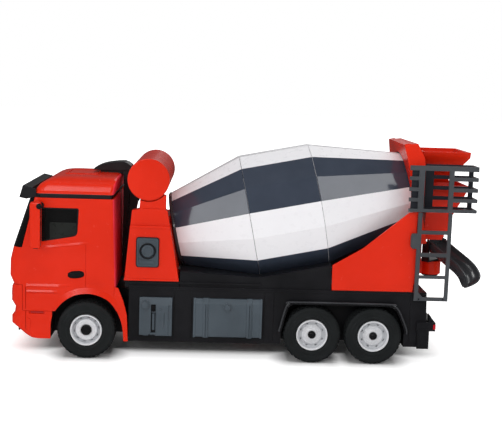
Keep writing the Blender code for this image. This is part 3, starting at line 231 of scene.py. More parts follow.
def cylinder(radius, start, end, segments=48, turn=0.0):
    start, end = Vector(start), Vector(end)
    bm = bmesh.new()
    matrix = along((start + end) / 2, end - start) @ spin(turn)
    bmesh.ops.create_cone(bm, cap_ends=True, segments=segments, radius1=radius * MM,
                          radius2=radius * MM, depth=(end - start).length * MM, matrix=matrix)
    return link_bmesh("cylinder", bm)


def side_cylinder(side, radius, x, z, y0, y1, segments=96):
    """Crosswise cylinder at |y| from y0 to y1 on one side."""
    return cylinder(radius, (x, side * y0, z), (x, side * y1, z), segments)


def rod(points, radius, resolution=5):
    """Round bar through the points."""
    curve = bpy.data.curves.new("rod", "CURVE")
    curve.dimensions = "3D"
    curve.bevel_depth = radius * MM
    curve.bevel_resolution = resolution
    curve.use_fill_caps = True
    spline = curve.splines.new("POLY")
    spline.points.add(len(points) - 1)
    for point, place in zip(spline.points, points):
        point.co = (*metres(*place), 1.0)
    return baked(link("rod", curve), Matrix.Identity(4))


def loft(sections):
    """Solid through closed sections with equal counts of (x, y, z) points."""
    bm = bmesh.new()
    rings = [[bm.verts.new(metres(*point)) for point in section] for section in sections]
    count = len(rings[0])
    for low, high in zip(rings, rings[1:]):
        for i in range(count):
            j = (i + 1) % count
            bm.faces.new((low[i], low[j], high[j], high[i]))
    bm.faces.new(list(reversed(rings[0])))
    bm.faces.new(rings[-1])
    bmesh.ops.recalc_face_normals(bm, faces=bm.faces)
    return link_bmesh("loft", bm)


def swept(profile, count, origin, axis, shape=None):
    """Closed profile of (radius, height) carried round the axis in count steps.

    shape(step, radius, height) moves each point.
    """
    bm = bmesh.new()
    matrix = along(origin, axis)
    rows = []
    for j in range(count):
        angle = math.tau * j / count + math.pi / 2
        row = []
        for r, h in profile:
            if shape:
                r, h = shape(j, r, h)
            row.append(bm.verts.new(matrix @ Vector((r * math.cos(angle) * MM,
                                                     r * math.sin(angle) * MM, h * MM))))
        rows.append(row)
    size = len(profile)
    for j in range(count):
        here, after = rows[j], rows[(j + 1) % count]
        for i in range(size):
            k = (i + 1) % size
            bm.faces.new((here[i], here[k], after[k], after[i]))
    bmesh.ops.recalc_face_normals(bm, faces=bm.faces)
    return link_bmesh("swept", bm)


def group(parts):
    """Several closed shapes kept as one object."""
    bm = bmesh.new()
    for part in parts:
        bm.from_mesh(part.data)
        bpy.data.objects.remove(part, do_unlink=True)
    return link_bmesh("group", bm)


def boolean(ob, tools, operation):
    """Apply the tools one by one and remove them; returns ob."""
    for tool in tools:
        modifier = ob.modifiers.new("bool", "BOOLEAN")
        modifier.operation = operation
        modifier.solver = "EXACT"
        modifier.object = tool
        mesh = evaluated_mesh(ob)
        ob.modifiers.clear()
        old = ob.data
        ob.data = mesh
        bpy.data.meshes.remove(old)
        bpy.data.objects.remove(tool, do_unlink=True)
        tidy(mesh)
    return ob


def cut(ob, *tools):
    return boolean(ob, tools, "DIFFERENCE")


def add(ob, *tools):
    return boolean(ob, tools, "UNION")


def common(ob, *tools):
    return boolean(ob, tools, "INTERSECT")


# ---------------------------------------------------------------- outlines
def inset(loop, distance):
    """Closed outline moved inwards by distance (outwards when it is negative)."""
    count = len(loop)
    area_twice = sum(loop[i][0] * loop[(i + 1) % count][1] - loop[(i + 1) % count][0] * loop[i][1]
                     for i in range(count))
    sign = 1.0 if area_twice > 0 else -1.0
    out = []
    for i in range(count):
        before, here, after = Vector(loop[i - 1]), Vector(loop[i]), Vector(loop[(i + 1) % count])
        edge1, edge2 = (here - before).normalized(), (after - here).normalized()
        normal1 = Vector((-edge1.y, edge1.x)) * sign
        normal2 = Vector((-edge2.y, edge2.x)) * sign
        reach = distance / max(0.35, (1 + normal1.dot(normal2)) / 2)
        moved = here + (normal1 + normal2) / 2 * reach
        out.append((moved.x, moved.y))
    return out


def strip(outer, inner, z_min):
    """Band between two open lines, only where they lie above z_min."""
    return [p for p in outer if p[1] > z_min] + [p for p in reversed(inner) if p[1] > z_min]


def smooth_path(points, steps):
    """Open smooth line through the points with a number of steps between neighbours."""
    out = []
    last = len(points) - 1
    for i in range(last):
        p0, p1, p2, p3 = (Vector(points[k]) for k in (max(0, i - 1), i, i + 1, min(last, i + 2)))
        for k in range(steps):
            t = k / steps
            q = 0.5 * (2 * p1 + (p2 - p0) * t + (2 * p0 - 5 * p1 + 4 * p2 - p3) * t * t
                       + (3 * p1 - p0 - 3 * p2 + p3) * t ** 3)
            out.append((q.x, q.y))
    out.append(tuple(points[-1]))
    return out


def corner_arcs(corners, steps):
    """Quarter circles from (centre, centre, radius, start angle) rows."""
    out = []
    for a, b, radius, start in corners:
        for i in range(steps + 1):
            angle = math.radians(start + 90.0 * i / steps)
            out.append((a + radius * math.cos(angle), b + radius * math.sin(angle)))
    return out


def round_rect(x0, x1, z0, z1, r):
    return corner_arcs([(x1 - r, z0 + r, r, 270), (x1 - r, z1 - r, r, 0),
                        (x0 + r, z1 - r, r, 90), (x0 + r, z0 + r, r, 180)], 6)


def side_plate(side, x0, x1, z0, z1, corner, y0, y1):
    return side_prism(side, round_rect(x0, x1, z0, z1, corner), y0, y1)


def circle(radius, count):
    return [(radius * math.cos(math.tau * i / count), radius * math.sin(math.tau * i / count))
            for i in range(count)]


def plan_section(x0, x1, y, z, front_r, rear_r):
    """Level section of the cab or roof, with rounded front and rear corners."""
    corners = [(x0 + front_r, -y + front_r, front_r, 180), (x1 - rear_r, -y + rear_r, rear_r, 270),
               (x1 - rear_r, y - rear_r, rear_r, 0), (x0 + front_r, y - front_r, front_r, 90)]
    return [(a, b, z) for a, b in corner_arcs(corners, 10)]


def level_rect(x0, x1, y, z):
    return [(x0, -y, z), (x1, -y, z), (x1, y, z), (x0, y, z)]


def rect_loft(*rows):
    """Loft through level rectangles given as x0, x1, half width, z."""
    return loft([level_rect(*row) for row in rows])


def gear_outline(teeth, module, phase, backlash=0.34, addendum=0.8, dedendum=1.15):
    """Straight-flanked teeth on a pitch circle."""
    pitch_r = teeth * module / 2
    outer, inner = pitch_r + addendum * module, pitch_r - dedendum * module
    half = math.pi / (2 * teeth) - backlash / (2 * pitch_r)
    slope = math.tan(math.radians(22))
    half_root = half + (pitch_r - inner) * slope / pitch_r
    half_tip = max(0.12 * half, half - (outer - pitch_r) * slope / pitch_r)
    points = []
    for k in range(teeth):
        centre = phase + math.tau * k / teeth
        for angle, radius in ((-half_root, inner), (-half_tip, outer), (half_tip, outer),
                              (half_root, inner)):
            points.append((radius * math.cos(centre + angle), radius * math.sin(centre + angle)))
    return points


# ---------------------------------------------------------------- drum coordinates
TILT = math.radians(DRUM_TILT)
DRUM_AXIS = Vector((math.cos(TILT), 0, math.sin(TILT)))
DRUM_UP = Vector((-math.sin(TILT), 0, math.cos(TILT)))


def drum_point(distance):
    """Point on the drum axis."""
    point = Vector((DRUM_X, 0, DRUM_Z)) + DRUM_AXIS * distance
    return (point.x, 0.0, point.z)


def drum_turned(profile, segments, turn, closed=True):
    """Profile of (radius, distance along the axis) about the drum axis."""
    return turned(profile, drum_point(0), DRUM_AXIS, segments, closed, DRUM_UP, turn)


def drum_plane(distance):
    """Frame square to the drum axis: local X along Y, local Y up the drum's face."""
    across = Vector((0, 1, 0))
    return placed(drum_point(distance), across, DRUM_UP, across.cross(DRUM_UP))


def drum_envelope(gap):
    """Space taken by the turning drum, grown by gap."""
    return drum_turned([(0, -111.0), (DRUM_FRONT_R + gap, -111.0),
                        (DRUM_FRONT_R + gap, DRUM_FRONT_S), (DRUM_R + gap, -DRUM_HALF),
                        (DRUM_R + gap, DRUM_HALF), (DRUM_MOUTH_R + gap, 130), (0, 130)],
                       128, 180.0 / 128, closed=False)


def drum_face_slab(distance, depth):
    """Square slab across the drum axis, to trim pieces flush with the drum's face."""
    return outline([(-60, -60), (60, -60), (60, 60), (-60, 60)], depth, drum_plane(distance))


# ================================================================= materials
def rgb(r, g, b):
    """sRGB 0-255 to linear."""
    def linear(c):
        c /= 255.0
        return c / 12.92 if c <= 0.04045 else ((c + 0.055) / 1.055) ** 2.4
    return (linear(r), linear(g), linear(b), 1.0)


def tint(colour, factor, lift=0.0):
    return tuple(min(1.0, c * factor + lift) for c in colour[:3]) + (1.0,)


class Graph:
    """Short calls for building a node tree. An input value is a number, a colour or a socket."""

    def __init__(self, tree):
        self.tree = tree

    def feed(self, node, inputs):
        for key, value in inputs.items():
            if isinstance(value, bpy.types.NodeSocket):
                self.tree.links.new(value, node.inputs[key])
            else:
                node.inputs[key].default_value = value

    def node(self, kind, inputs=None, **settings):
        made = self.tree.nodes.new("ShaderNode" + kind)
        for key, value in settings.items():
            setattr(made, key, value)
        self.feed(made, inputs or {})
        return made

    def remap(self, value, source, to):
        return self.node("MapRange", {
            "Value": value, "From Min": source[0], "From Max": source[1],
            "To Min": to[0], "To Max": to[1]}).outputs["Result"]

    def mix_colour(self, factor, a, b):
        return self.node("Mix", {0: factor, 6: a, 7: b}, data_type="RGBA").outputs[2]

    def mix_value(self, factor, a, b):
        return self.node("Mix", {0: factor, 2: a, 3: b}, data_type="FLOAT").outputs[0]

    def math(self, operation, *values):
        return self.node("Math", dict(enumerate(values)), operation=operation).outputs[0]

    def light_path(self, output):
        return self.node("LightPath").outputs[output]


class Surface(Graph):
    """A material with its Principled shader and object coordinates."""

    def __init__(self, name, colour):
        self.material = bpy.data.materials.new(name)
        self.material.use_nodes = True
        self.material.diffuse_color = colour
        super().__init__(self.material.node_tree)
        self.shader = self.tree.nodes["Principled BSDF"]
        self.coords = self.node("TexCoord").outputs["Object"]

    def noise(self, scale, detail=3.0, roughness=0.55):
        return self.node("TexNoise", {"Scale": scale, "Detail": detail, "Roughness": roughness,
                                      "Vector": self.coords}).outputs["Fac"]

    def edge_mask(self, radius=0.0007):
        """1 on sharp edges, 0 on flats: how far a rounded normal leaves the true one."""
        bevel = self.node("Bevel", {"Radius": radius}, samples=4)
        geometry = self.node("NewGeometry")
        dot = self.node("VectorMath", {0: bevel.outputs["Normal"], 1: geometry.outputs["Normal"]},
                        operation="DOT_PRODUCT")
        return self.remap(dot.outputs["Value"], source=(0.985, 0.80), to=(0.0, 1.0))

    def bump(self, height, strength, distance):
        bump = self.node("Bump", {"Strength": strength, "Distance": distance, "Height": height})
        self.feed(self.shader, {"Normal": bump.outputs["Normal"]})


def plastic(name, colour, rough=0.32, grain=0.10, grain_scale=5200.0, vary=0.05, coat=0.0,
            edge=0.18, spec=0.5, smudge=0.07):
    """Moulded plastic: slow colour drift, fine grain, uneven gloss (smudge), pale worn edges."""
    g = Surface(name, colour)
    slow = g.noise(scale=26.0)
    fine = g.noise(scale=grain_scale, detail=2.0)
    medium = g.noise(scale=140.0, detail=5.0, roughness=0.65)
    dark = tint(colour, 1.0 - 2.2 * vary)
    light = tint(colour, 1.0 + 1.4 * vary, lift=0.002)
    worn = tint(colour, 1.25, lift=0.05)
    base = g.mix_colour(g.remap(slow, source=(0.35, 0.65), to=(0.0, 1.0)), dark, light)
    wear = g.math("MULTIPLY", g.edge_mask(),
                  g.remap(medium, source=(0.45, 0.7), to=(edge * 0.35, edge)))
    base = g.mix_colour(wear, base, worn)
    gloss = g.remap(medium, source=(0.35, 0.70), to=(rough - smudge * 0.5, rough + smudge))
    g.feed(g.shader, {"Base Color": base, "Roughness": gloss, "Specular IOR Level": spec,
                      "Coat Weight": coat, "Coat Roughness": 0.12})
    g.bump(fine, strength=grain, distance=0.00012)
    return g.material


def rubber(name, colour):
    """Matt rubber with pale dust in patches and paler edges."""
    g = Surface(name, colour)
    dust = g.remap(g.noise(scale=60.0, detail=5.0, roughness=0.7),
                   source=(0.45, 0.75), to=(0.0, 0.22))
    base = g.mix_colour(dust, colour, tint(colour, 2.0, lift=0.012))
    edges = g.remap(g.edge_mask(radius=0.0008), source=(0.0, 1.0), to=(0.0, 0.35))
    base = g.mix_colour(edges, base, tint(colour, 3.0, lift=0.02))
    gloss = g.remap(g.noise(scale=240.0, detail=4.0), source=(0.3, 0.7), to=(0.58, 0.80))
    g.feed(g.shader, {"Base Color": base, "Roughness": gloss, "Specular IOR Level": 0.22})
    g.bump(g.noise(scale=3000.0), strength=0.25, distance=0.0002)
    return g.material


def silver(name, colour, rough, metal):
    """Metal or metallic paint: fine flake, patches of grime."""
    g = Surface(name, colour)
    flake = g.noise(scale=7000.0, detail=2.0)
    base = g.mix_colour(g.remap(flake, source=(0.35, 0.65), to=(0.0, 1.0)),
                        tint(colour, 0.86), tint(colour, 1.1))
    grime = g.remap(g.noise(scale=320.0, detail=5.0, roughness=0.7),
                    source=(0.55, 0.80), to=(0.0, 0.14))
    base = g.mix_colour(grime, base, tint(colour, 0.45))
    gloss = g.remap(g.noise(scale=500.0, detail=4.0),
                    source=(0.3, 0.7), to=(rough - 0.06, rough + 0.12))
    g.feed(g.shader, {"Base Color": base, "Metallic": metal, "Roughness": gloss})
    g.bump(g.noise(scale=1500.0), strength=0.12, distance=0.00012)
    return g.material


def lens(name, colour):
    """Clear coated lens with fine level ribs."""
    g = Surface(name, colour)
    ribs = g.node("TexWave", {"Scale": 420.0, "Vector": g.coords},
                  bands_direction="Z").outputs["Fac"]
    base = g.mix_colour(g.remap(ribs, source=(0.0, 1.0), to=(0.0, 0.45)),
                        colour, tint(colour, 1.5, lift=0.03))
    g.feed(g.shader, {"Base Color": base, "Roughness": 0.08, "Transmission Weight": 0.25,
                      "Coat Weight": 0.6})
    g.bump(ribs, strength=0.5, distance=0.0003)
    return g.material


MATERIAL = {
    "red": plastic("red_moulded_plastic", rgb(216, 36, 4), rough=0.25, grain=0.015, vary=0.02,
                   coat=0.05, edge=0.16, spec=0.28, smudge=0.03),
    # painted shade: a pinker, matt copy of the red for the rear faces of the cab and roof, which
    # sit in shade
    "red_rear_shade": plastic("red_plastic_painted_rear_shade", rgb(238, 56, 74), rough=0.60, vary=0.10,
                        edge=0.08, spec=0.08),
    # painted shade: a darker red for the lining of the bumper's corner slot
    "red_slot_shade": plastic("red_plastic_painted_slot_shade", rgb(176, 10, 6), rough=0.34, grain=0.08,
                        vary=0.04, coat=0.05, edge=0.16),
    "black": plastic("black_grained_plastic", rgb(21, 21, 25), rough=0.34, grain=0.20, vary=0.10,
                     edge=0.14, spec=0.40),
    "black_gloss": plastic("black_gloss_plastic", rgb(16, 16, 18), rough=0.20, grain=0.05,
                           vary=0.08, edge=0.10),
    "grey": plastic("grey_grained_plastic", rgb(69, 79, 87), rough=0.36, vary=0.06, edge=0.26,
                    spec=0.45),
    "ladder": plastic("ladder_grey_plastic", rgb(68, 71, 75), rough=0.36, grain=0.16, vary=0.06,
                      edge=0.22, spec=0.45),
    # painted shade: a darker copy of the ladder grey for the rail's inner side and its side panel
    "ladder_shade": plastic("ladder_plastic_painted_shade", rgb(38, 41, 49), rough=0.42, grain=0.16,
                           vary=0.06, edge=0.12, spec=0.3),
    "drum_white": plastic("drum_white_plastic", rgb(233, 232, 235), rough=0.28, grain=0.02,
                          vary=0.006, coat=0.1, edge=0.05, smudge=0.03, spec=0.3),
    "drum_grey": plastic("drum_grey_plastic", rgb(56, 63, 76), rough=0.12, grain=0.04, vary=0.04,
                         coat=0.3, edge=0.22),
    "chute": plastic("chute_grey_plastic", rgb(56, 57, 60), rough=0.20, grain=0.03, vary=0.06,
                     edge=0.22, coat=0.2),
    "rubber": rubber("tyre_rubber", rgb(24, 27, 28)),
    "silver": silver("rim_silver_paint", rgb(222, 223, 226), rough=0.36, metal=0.15),
    # darker silver for the rims' recesses: grime and painted shade
    "silver_grime_and_shade": silver("rim_silver_recess_grime_and_shade", rgb(188, 190, 194), rough=0.44, metal=0.15),
    "glass": plastic("window_tint_gloss", rgb(11, 11, 11), rough=0.08, grain=0.02, vary=0.10,
                     edge=0.05, smudge=0.03, spec=0.3),
    "glass_grey": plastic("window_panel_grey", rgb(34, 36, 34), rough=0.28, vary=0.08, edge=0.05,
                          spec=0.2),
    "lamp_red": lens("tail_lens_red", rgb(190, 18, 34)),
    "lamp_clear": lens("head_lens_clear", rgb(205, 210, 216)),
    "steel": silver("bright_steel", rgb(190, 192, 196), rough=0.28, metal=1.0),
    "nylon": plastic("natural_nylon", rgb(226, 222, 208), rough=0.42, grain=0.12, vary=0.04,
                     edge=0.1),
    "board": plastic("circuit_board_green", rgb(24, 96, 52), rough=0.36, grain=0.3,
                     grain_scale=2200.0, vary=0.15, edge=0.2),
}
SLOT_MATERIAL = {
    "red_plastic": "red", "black_plastic": "black", "grey_plastic": "grey",
    "dark_grey_plastic": "chute", "drum_plastic": "drum_white", "tyre_rubber": "rubber",
    "rim_silver": "silver", "window_tint": "glass", "lamp_red": "lamp_red",
    "lamp_clear": "lamp_clear", "steel": "steel", "nylon": "nylon", "circuit_board": "board"}


# ================================================================= finishing
def mark_long(ob, width, angle):
    """Weight the edges long enough to be rounded without folding their neighbours."""
    limit = 2.4 * width * MM
    bm = bmesh.new()
    bm.from_mesh(ob.data)
    weight = bm.edges.layers.float.new("bevel_weight_edge")
    shortest = {v: min([e.calc_length() for e in v.link_edges] or [0.0]) for v in bm.verts}
    for edge in bm.edges:
        sharp = len(edge.link_faces) == 2 and edge.calc_face_angle(0.0) > math.radians(angle)
        if sharp and min(shortest[v] for v in edge.verts) > limit:
            edge[weight] = 1.0
    bm.to_mesh(ob.data)
    bm.free()


def bevel(ob, width, angle=32.0):
    rounding = ob.modifiers.new("round_edges", "BEVEL")
    rounding.width = width * MM
    rounding.segments = 2
    rounding.limit_method = "ANGLE"
    rounding.angle_limit = math.radians(angle)
    return rounding


def soften(ob, width, angle, safe):
    """Round the edges and smooth the faces; safe rounds only the long edges."""
    if width:
        if safe:
            mark_long(ob, width, angle)
        rounding = bevel(ob, width, angle)
        if safe:
            rounding.limit_method = "WEIGHT"
        rounding.use_clamp_overlap = False
        rounding.miter_outer = "MITER_ARC"
        rounding.harden_normals = False
    ob.data.shade_smooth()
    ob.data.set_sharp_from_angle(angle=math.radians(38))
    normals = ob.modifiers.new("face_normals", "WEIGHTED_NORMAL")
    normals.keep_sharp = True
    normals.weight = 60


def finish_piece(ob, name, materials, node, width, angle=32.0, safe=False):
    """Name, colour and soften a piece, and let it ride with the body of a CAD node."""
    ob.name = name
    ob.data.name = name
    ob.data.materials.clear()
    for key in materials:
        ob.data.materials.append(MATERIAL[key])
    soften(ob, width, angle, safe)
    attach(ob, BODY_OF[node])


def final(key, materials, width, angle=32.0, safe=False):
    """The detailed shape takes the place of its CAD node."""
    finish_piece(SHAPE[key], key + "_fine", materials, key, width, angle, safe)
    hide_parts(key)


def trim(ob, name, material, like, width=0.25):
    """A trim piece that rides with the body of a CAD node."""
    finish_piece(ob, name, [material], like, width)


def keep(key):
    """A CAD node whose shape stays: a material and softened edges."""
    ob = frame["nodes"][key]
    ob.data.materials.clear()
    ob.data.materials.append(MATERIAL[SLOT_MATERIAL[SLOT_OF[key]]])
    weld = ob.modifiers.new("weld", "WELD")
    weld.merge_threshold = WELD
    bevel(ob, 0.2)


def paint(key, pick):
    """Material index of each face from its centre in station mm and its normal."""
    for face in SHAPE[key].data.polygons:
        c = face.center
        face.material_index = pick(c.x / MM - DX, c.y / MM, c.z / MM, face.normal)


# ================================================================= chassis
# outlines are (station, height)
ARCH_OUT = [(-31, 10), (-31, 30), (-30, 34), (-25.2, 52.7), (-22, 56.2), (-17.6, 57.9),
            (69.2, 57.8), (75, 56.2), (80, 52), (87.6, 35), (88, 30), (88, 10)]
ARCH_IN = [(-29, 9), (-29, 30), (-28.1, 34), (-23.5, 51.9), (-20.8, 54.7), (-17.2, 56),
           (68.8, 56), (74, 54.4), (78.5, 51), (85.8, 34.6), (86.1, 30), (86.1, 9)]
BODY_SIDE = [(-170, 17), (-170, 69), (105.6, 69), (107.5, 24), (101, 17)]
BODY_HOLLOW = [(-168, 5), (-168, 67), (103.8, 67), (105.4, 24), (105.4, 5)]
CRADLE = [(-123.5, 69), (-123.5, 83), (-50, 79.2), (16, 92.7), (16.2, 69)]
CRADLE_HOLLOW = [(-121.5, 60), (-121.5, 80.8), (-50, 77.1), (14.2, 90.3), (14.2, 60)]
ARCH_HOUSING = [(-33, 4), (-33, 59.8), (90, 59.8), (90, 4)]
# side, x0, x1 of the openings behind the grey boxes
FLANK_OPENINGS = ((-1, -160.3, -129.7), (-1, -110.7, -46.7), (1, -160.3, -46.7))
OPENING_Z0, OPENING_Z1 = 22.7, 59.3
SKIRT_SEAMS = ((-128.4, -127.8), (-112.6, -112.0), (-45.4, -44.8), (-36.5, -36.0))


def steering_lug(side):
    """Bracket with the upper bore of a kingpin."""
    x0, x1, y = AXLE_F - 4, AXLE_F + 4, side * KING_Y
    lug = side_box(side, x0, x1, 25, 39.2, 36, 40)
    add(lug, side_box(side, x0, x1, 25, 28, 36, 52))
    return cut(lug, cylinder(BORE_R, (AXLE_F, y, 35), (AXLE_F, y, 39.2), 64))


def chassis_hollow():
    hollow = prism(BODY_HOLLOW, -55, 55)
    add(hollow, prism(CRADLE_HOLLOW, -53.5, 53.5))
    cut(hollow, drum_envelope(4.5))
    for side, _ in SIDES:
        cut(hollow, side_prism(side, ARCH_HOUSING, 36, 57))
    for side, x0, x1 in FLANK_OPENINGS:
        cut(hollow, side_box(side, x0 - WALL, x1 + WALL, 48, 57,
                             OPENING_Z0 - WALL, OPENING_Z1 + WALL))
    return add(hollow, box(-241, -166, -24, 24, 5, 58))


def chassis_body():
    body = prism(BODY_SIDE, -BODY_Y, BODY_Y)
    add(body, prism(CRADLE, -55.5, 55.5), box(-173.8, -124.0, -55.5, 55.5, 68, 73.8),
        box(-243, -169, -26, 26, 17, 60))
    for side, _ in SIDES:
        cut(body, side_prism(side, ARCH_IN, 38, 62))
        add(body, side_prism(side, strip(ARCH_OUT, ARCH_IN, 20), 37, 60.4))
    cut(body, drum_envelope(2.3), chassis_hollow())
    for side, x0, x1 in FLANK_OPENINGS:
        cut(body, side_box(side, x0, x1, 50, 62, OPENING_Z0, OPENING_Z1))
    # axle slots, open downwards
    for x in (AXLE_1, AXLE_2):
        cut(body, box(x - 2.0, x + 2.0, -39, 39, 5, TYRE_R + 2.0))
    # tie rod window across the tongue
    cut(body, box(AXLE_F + 5.4, AXLE_F + 14.6, -27, 27, 5, 35.2))
    for side, _ in SIDES:
        add(body, steering_lug(side))
    for side, _ in SIDES:
        # mudguard ribs
        for depth in (0.15, 1.15):
            rib = strip(inset(ARCH_OUT, depth), inset(ARCH_OUT, depth + 0.45), 22)
            add(body, side_prism(side, rib, 58, 60.7))
        # ribs along the cradle and the deck
        add(body, *side_boxes(side, (-125, -49, 56.2, 57.5, 72.2, 73.4),
                              (-171.5, -125.5, 55.2, 56.4, 71.2, 72.4)))
        for x0, x1 in SKIRT_SEAMS:
            cut(body, side_box(side, x0, x1, 56.4, 60, 20, 68))
        cut(body, side_box(side, 90.4, 90.9, 56.5, 60, 20, 68))
        add(body, side_box(side, -168, 104, 56.4, 57.35, 66.2, 67.0))
    return body


SHAPE["chassis_body"] = chassis_body()


def rear_bumper():
    bumper = box(109.0, 115, -59.6, 59.6, 33, 41.3)
    for side, _ in SIDES:
        # side arm, mudflap, brace and lamp pocket
        add(bumper, *side_boxes(side, (97.5, 110, 57.4, 59.6, 33, 41.3),
                                (98.4, 109.4, 57.4, 59.6, 16, 33.5)),
            side_prism(side, [(109.3, 40.5), (115, 40.5), (109.3, 48.5)], 50, 57.3))
        cut(bumper, side_box(side, 112.5, 116, 49.5, 61, 34.6, 39.7))
    cut(bumper, box(112.2, 113.8, -58, 58, 36.2, 38.2))
    for side, _ in SIDES:
        # grooves of the mudflap and the arm
        cut(bumper, *side_boxes(side, (99.6, 108.2, 59.25, 62, 31.2, 31.9),
                                (99.2, 99.7, 59.2, 62, 17, 31)),
            side_prism(side, [round_rect(100.6, 107.6, 17.6, 30.0, 1.0),
                              round_rect(100.6 + 0.5, 107.6 - 0.5, 17.6 + 0.5, 30.0 - 0.5, 0.5)],
                       59.3, 62),
            side_box(side, 98.6, 108.6, 59.3, 62, 34.6, 35.1))
    return cut(bumper, box(114.5, 116, -16, 16, 34.2, 40.2))


SHAPE["rear_bumper"] = rear_bumper()

# ================================================================= cab
# height, station of the cab's front face
FRONT = [(17.8, -262.0), (20.6, -266.3), (30.9, -278.2), (37.5, -278.2), (40.9, -275.6),
         (46.2, -275.0), (52.0, -278.4), (65.1, -278.1), (67.8, -276.6), (75.5, -279.8),
         (89.9, -279.5), (102.6, -276.6), (146.0, -262.2), (148.4, -260.6)]


def cab_solid(depth, z_low=None, z_high=None):
    """Outer form of the cab moved inwards by depth, with its ends drawn out in height."""
    sections = []
    for z, x_front in FRONT:
        x_back = -182.2 - 2.5 * max(0.0, (z - 68.0) / 80.4)
        sections.append(plan_section(x_front + depth, x_back - depth, CAB_Y - depth, z,
                                     11.0 - depth, max(0.8, 2.5 - depth)))
    if z_low is not None:
        sections[0] = [(x, y, z_low) for x, y, _ in sections[0]]
        sections[-1] = [(x, y, z_high) for x, y, _ in sections[-1]]
    return loft(sections)


# outlines are (station, height)
ARCH_POINTS = [(-241.3, 30), (-240.6, 36), (-238.1, 42.4), (-231, 51.5), (-221, 58.4),
               (-209.5, 60.9), (-199, 59.6), (-189, 54.8), (-181.1, 45.1), (-176, 32),
               (-174.4, 16)]
WHEEL_ARCH = [(-241.3, 5)] + smooth_path(ARCH_POINTS, 5) + [(-174.3, 5)]
BUMPER_ZONE = [(-290, 5), (-290, 67.6), (-266.9, 67.6), (-266.9, 43.5), (-240, 43.5), (-240, 5)]
SHELL_ZONE = [(-290, 67.9), (-290, 102.4), (-267.3, 102.4), (-256.8, 145.6), (-255.6, 150),
              (-160, 150), (-160, 43.8), (-266.6, 43.8), (-266.6, 67.9)]
SCREEN_ZONE = [(-290, 102.7), (-290, 148), (-256.8, 148), (-267.7, 102.7)]
WINDOW = [(-250.4, 108.1), (-250.6, 138.4), (-249.2, 139.6), (-217.2, 139.5), (-216.2, 138.2),
          (-217.2, 118), (-217.6, 116.3), (-218.6, 114.7), (-220.2, 113.8), (-222.6, 113.2)]
REAR_FLARE = [(-182.5, 67.2), (-179.8, 66.6), (-175, 54.5), (-171.6, 41.3), (-170.5, 16.7),
              (-174.4, 16.7), (-176, 32), (-181.1, 45.1), (-184.5, 50)]
HANDLE_RECESS = [(-226.2, 75.2), (-225.6, 79.8), (-222, 81.6), (-211.8, 82.5), (-210.3, 81.2),
                 (-210.6, 76.2), (-212, 74.6), (-225, 74.5)]
FENDER_GROOVE = [(-262, 60.2), (-236.8, 60.2), (-234.5, 60.9), (-262, 60.9)]
CORNER_GROOVE = [(-262.6, 37.9), (-258.4, 35.9), (-260.3, 19.6), (-260.8, 19.6), (-259.1, 35.6),
                 (-262.6, 37.3)]
BAR_Z, BAR_PITCH, BAR_COUNT = 76, 5.4, 4     # slots of the grille


def across(loop):
    """Outline swept right across the cab."""
    return prism(loop, -70, 70)


# the cab's outer skin is shared out between the shell, the windscreen and the bumper
cab_skin = cut(cab_solid(0), cab_solid(WALL, 5, 160))
cab_screen = cut(cab_solid(0), cab_solid(WALL + 1.0, 5, 160))
common(cab_screen, across(SCREEN_ZONE))
cab_front = common(link("bumper", cab_skin.data.copy()), across(BUMPER_ZONE))


def cab_shell(shell):
    common(shell, across(SHELL_ZONE))
    for side, _ in SIDES:
        add(shell, side_prism(side, REAR_FLARE, CAB_Y - WALL, CAB_Y))
    cut(shell, across(WHEEL_ARCH), across(WINDOW))
    for side, _ in SIDES:
        lip = strip(inset(WHEEL_ARCH, -1.8), WHEEL_ARCH, 44.0)
        add(shell, side_prism(side, lip, CAB_Y - 1.5, CAB_Y + 0.8))
    # rear seam of the door and handle recess
    for side, _ in SIDES:
        cut(shell, side_box(side, -209.7, -209.1, CAB_Y - 0.5, 62, 61.5, 106.3),
            side_prism(side, HANDLE_RECESS, CAB_Y - 1.2, 62))
    cut(shell, box(-190, -160, -CAB_Y + WALL, CAB_Y - WALL, 5, 66.4))
    for i in range(BAR_COUNT):
        z = BAR_Z + i * BAR_PITCH
        cut(shell, box(-285, -278.4, -36, 36, z, z + 2.6))
    # fender groove, seam behind the door and corner seam
    for side, _ in SIDES:
        cut(shell, side_prism(side, FENDER_GROOVE, CAB_Y - 0.5, 62),
            side_box(side, -209.4, -180, CAB_Y - 0.25, 62, 70.2, 70.5),
            side_box(side, -264.2, -263.7, CAB_Y - 1.4, 62, 45, 66.2))
    return shell


SHAPE["cab_shell"] = cab_shell(cab_skin)


def front_bumper(bumper):
    cut(bumper, across(WHEEL_ARCH))
    for side, _ in SIDES:
        cut(bumper, side_box(side, -285, -270, 30, 46, 53, 63))
    cut(bumper, box(-285, -277.2, -24, 24, 31.5, 36.8))
    for side, _ in SIDES:
        # corner slot, corner grooves and step recess
        cut(bumper, side_box(side, -261.0, -246.5, CAB_Y - 1.3, 62, 41.0, 44.2),
            side_prism(side, CORNER_GROOVE, CAB_Y - 0.4, 62),
            side_box(side, -264.2, -263.6, CAB_Y - 1.0, 62, 16, 46),
            side_box(side, -285, -272.6, 30, 50, 22.5, 27.0))
        # fog lamp pockets
        for y in (34, 42):
            cut(bumper, cylinder(2.6, (-285, side * y, 46.9), (-274.6, side * y, 46.9), 64))
    return cut(bumper, *boxes((-285, -276.6, -30, 30, 39.0, 39.7),
                              (-285, -277.6, -26, 26, 54.0, 63.4)))


SHAPE["front_bumper"] = front_bumper(cab_front)


def cab_glazing(glass):
    """Windscreen with a lining behind it that carries the side windows."""
    add(glass, common(cab_solid(WALL + GAP), across([(-290, 97), (-290, 147.6), (-197, 147.6),
                                                     (-197, 97)])))
    cut(glass, common(cab_solid(WALL + GAP + 1.5), across([(-290, 90), (-290, 145.6),
                                                           (-190, 145.6), (-190, 90)])))
    for side, _ in SIDES:
        add(glass, side_prism(side, inset(WINDOW, 0.35), 54.5, CAB_Y - 0.5))
    return glass


SHAPE["cab_glazing"] = cab_glazing(cab_screen)


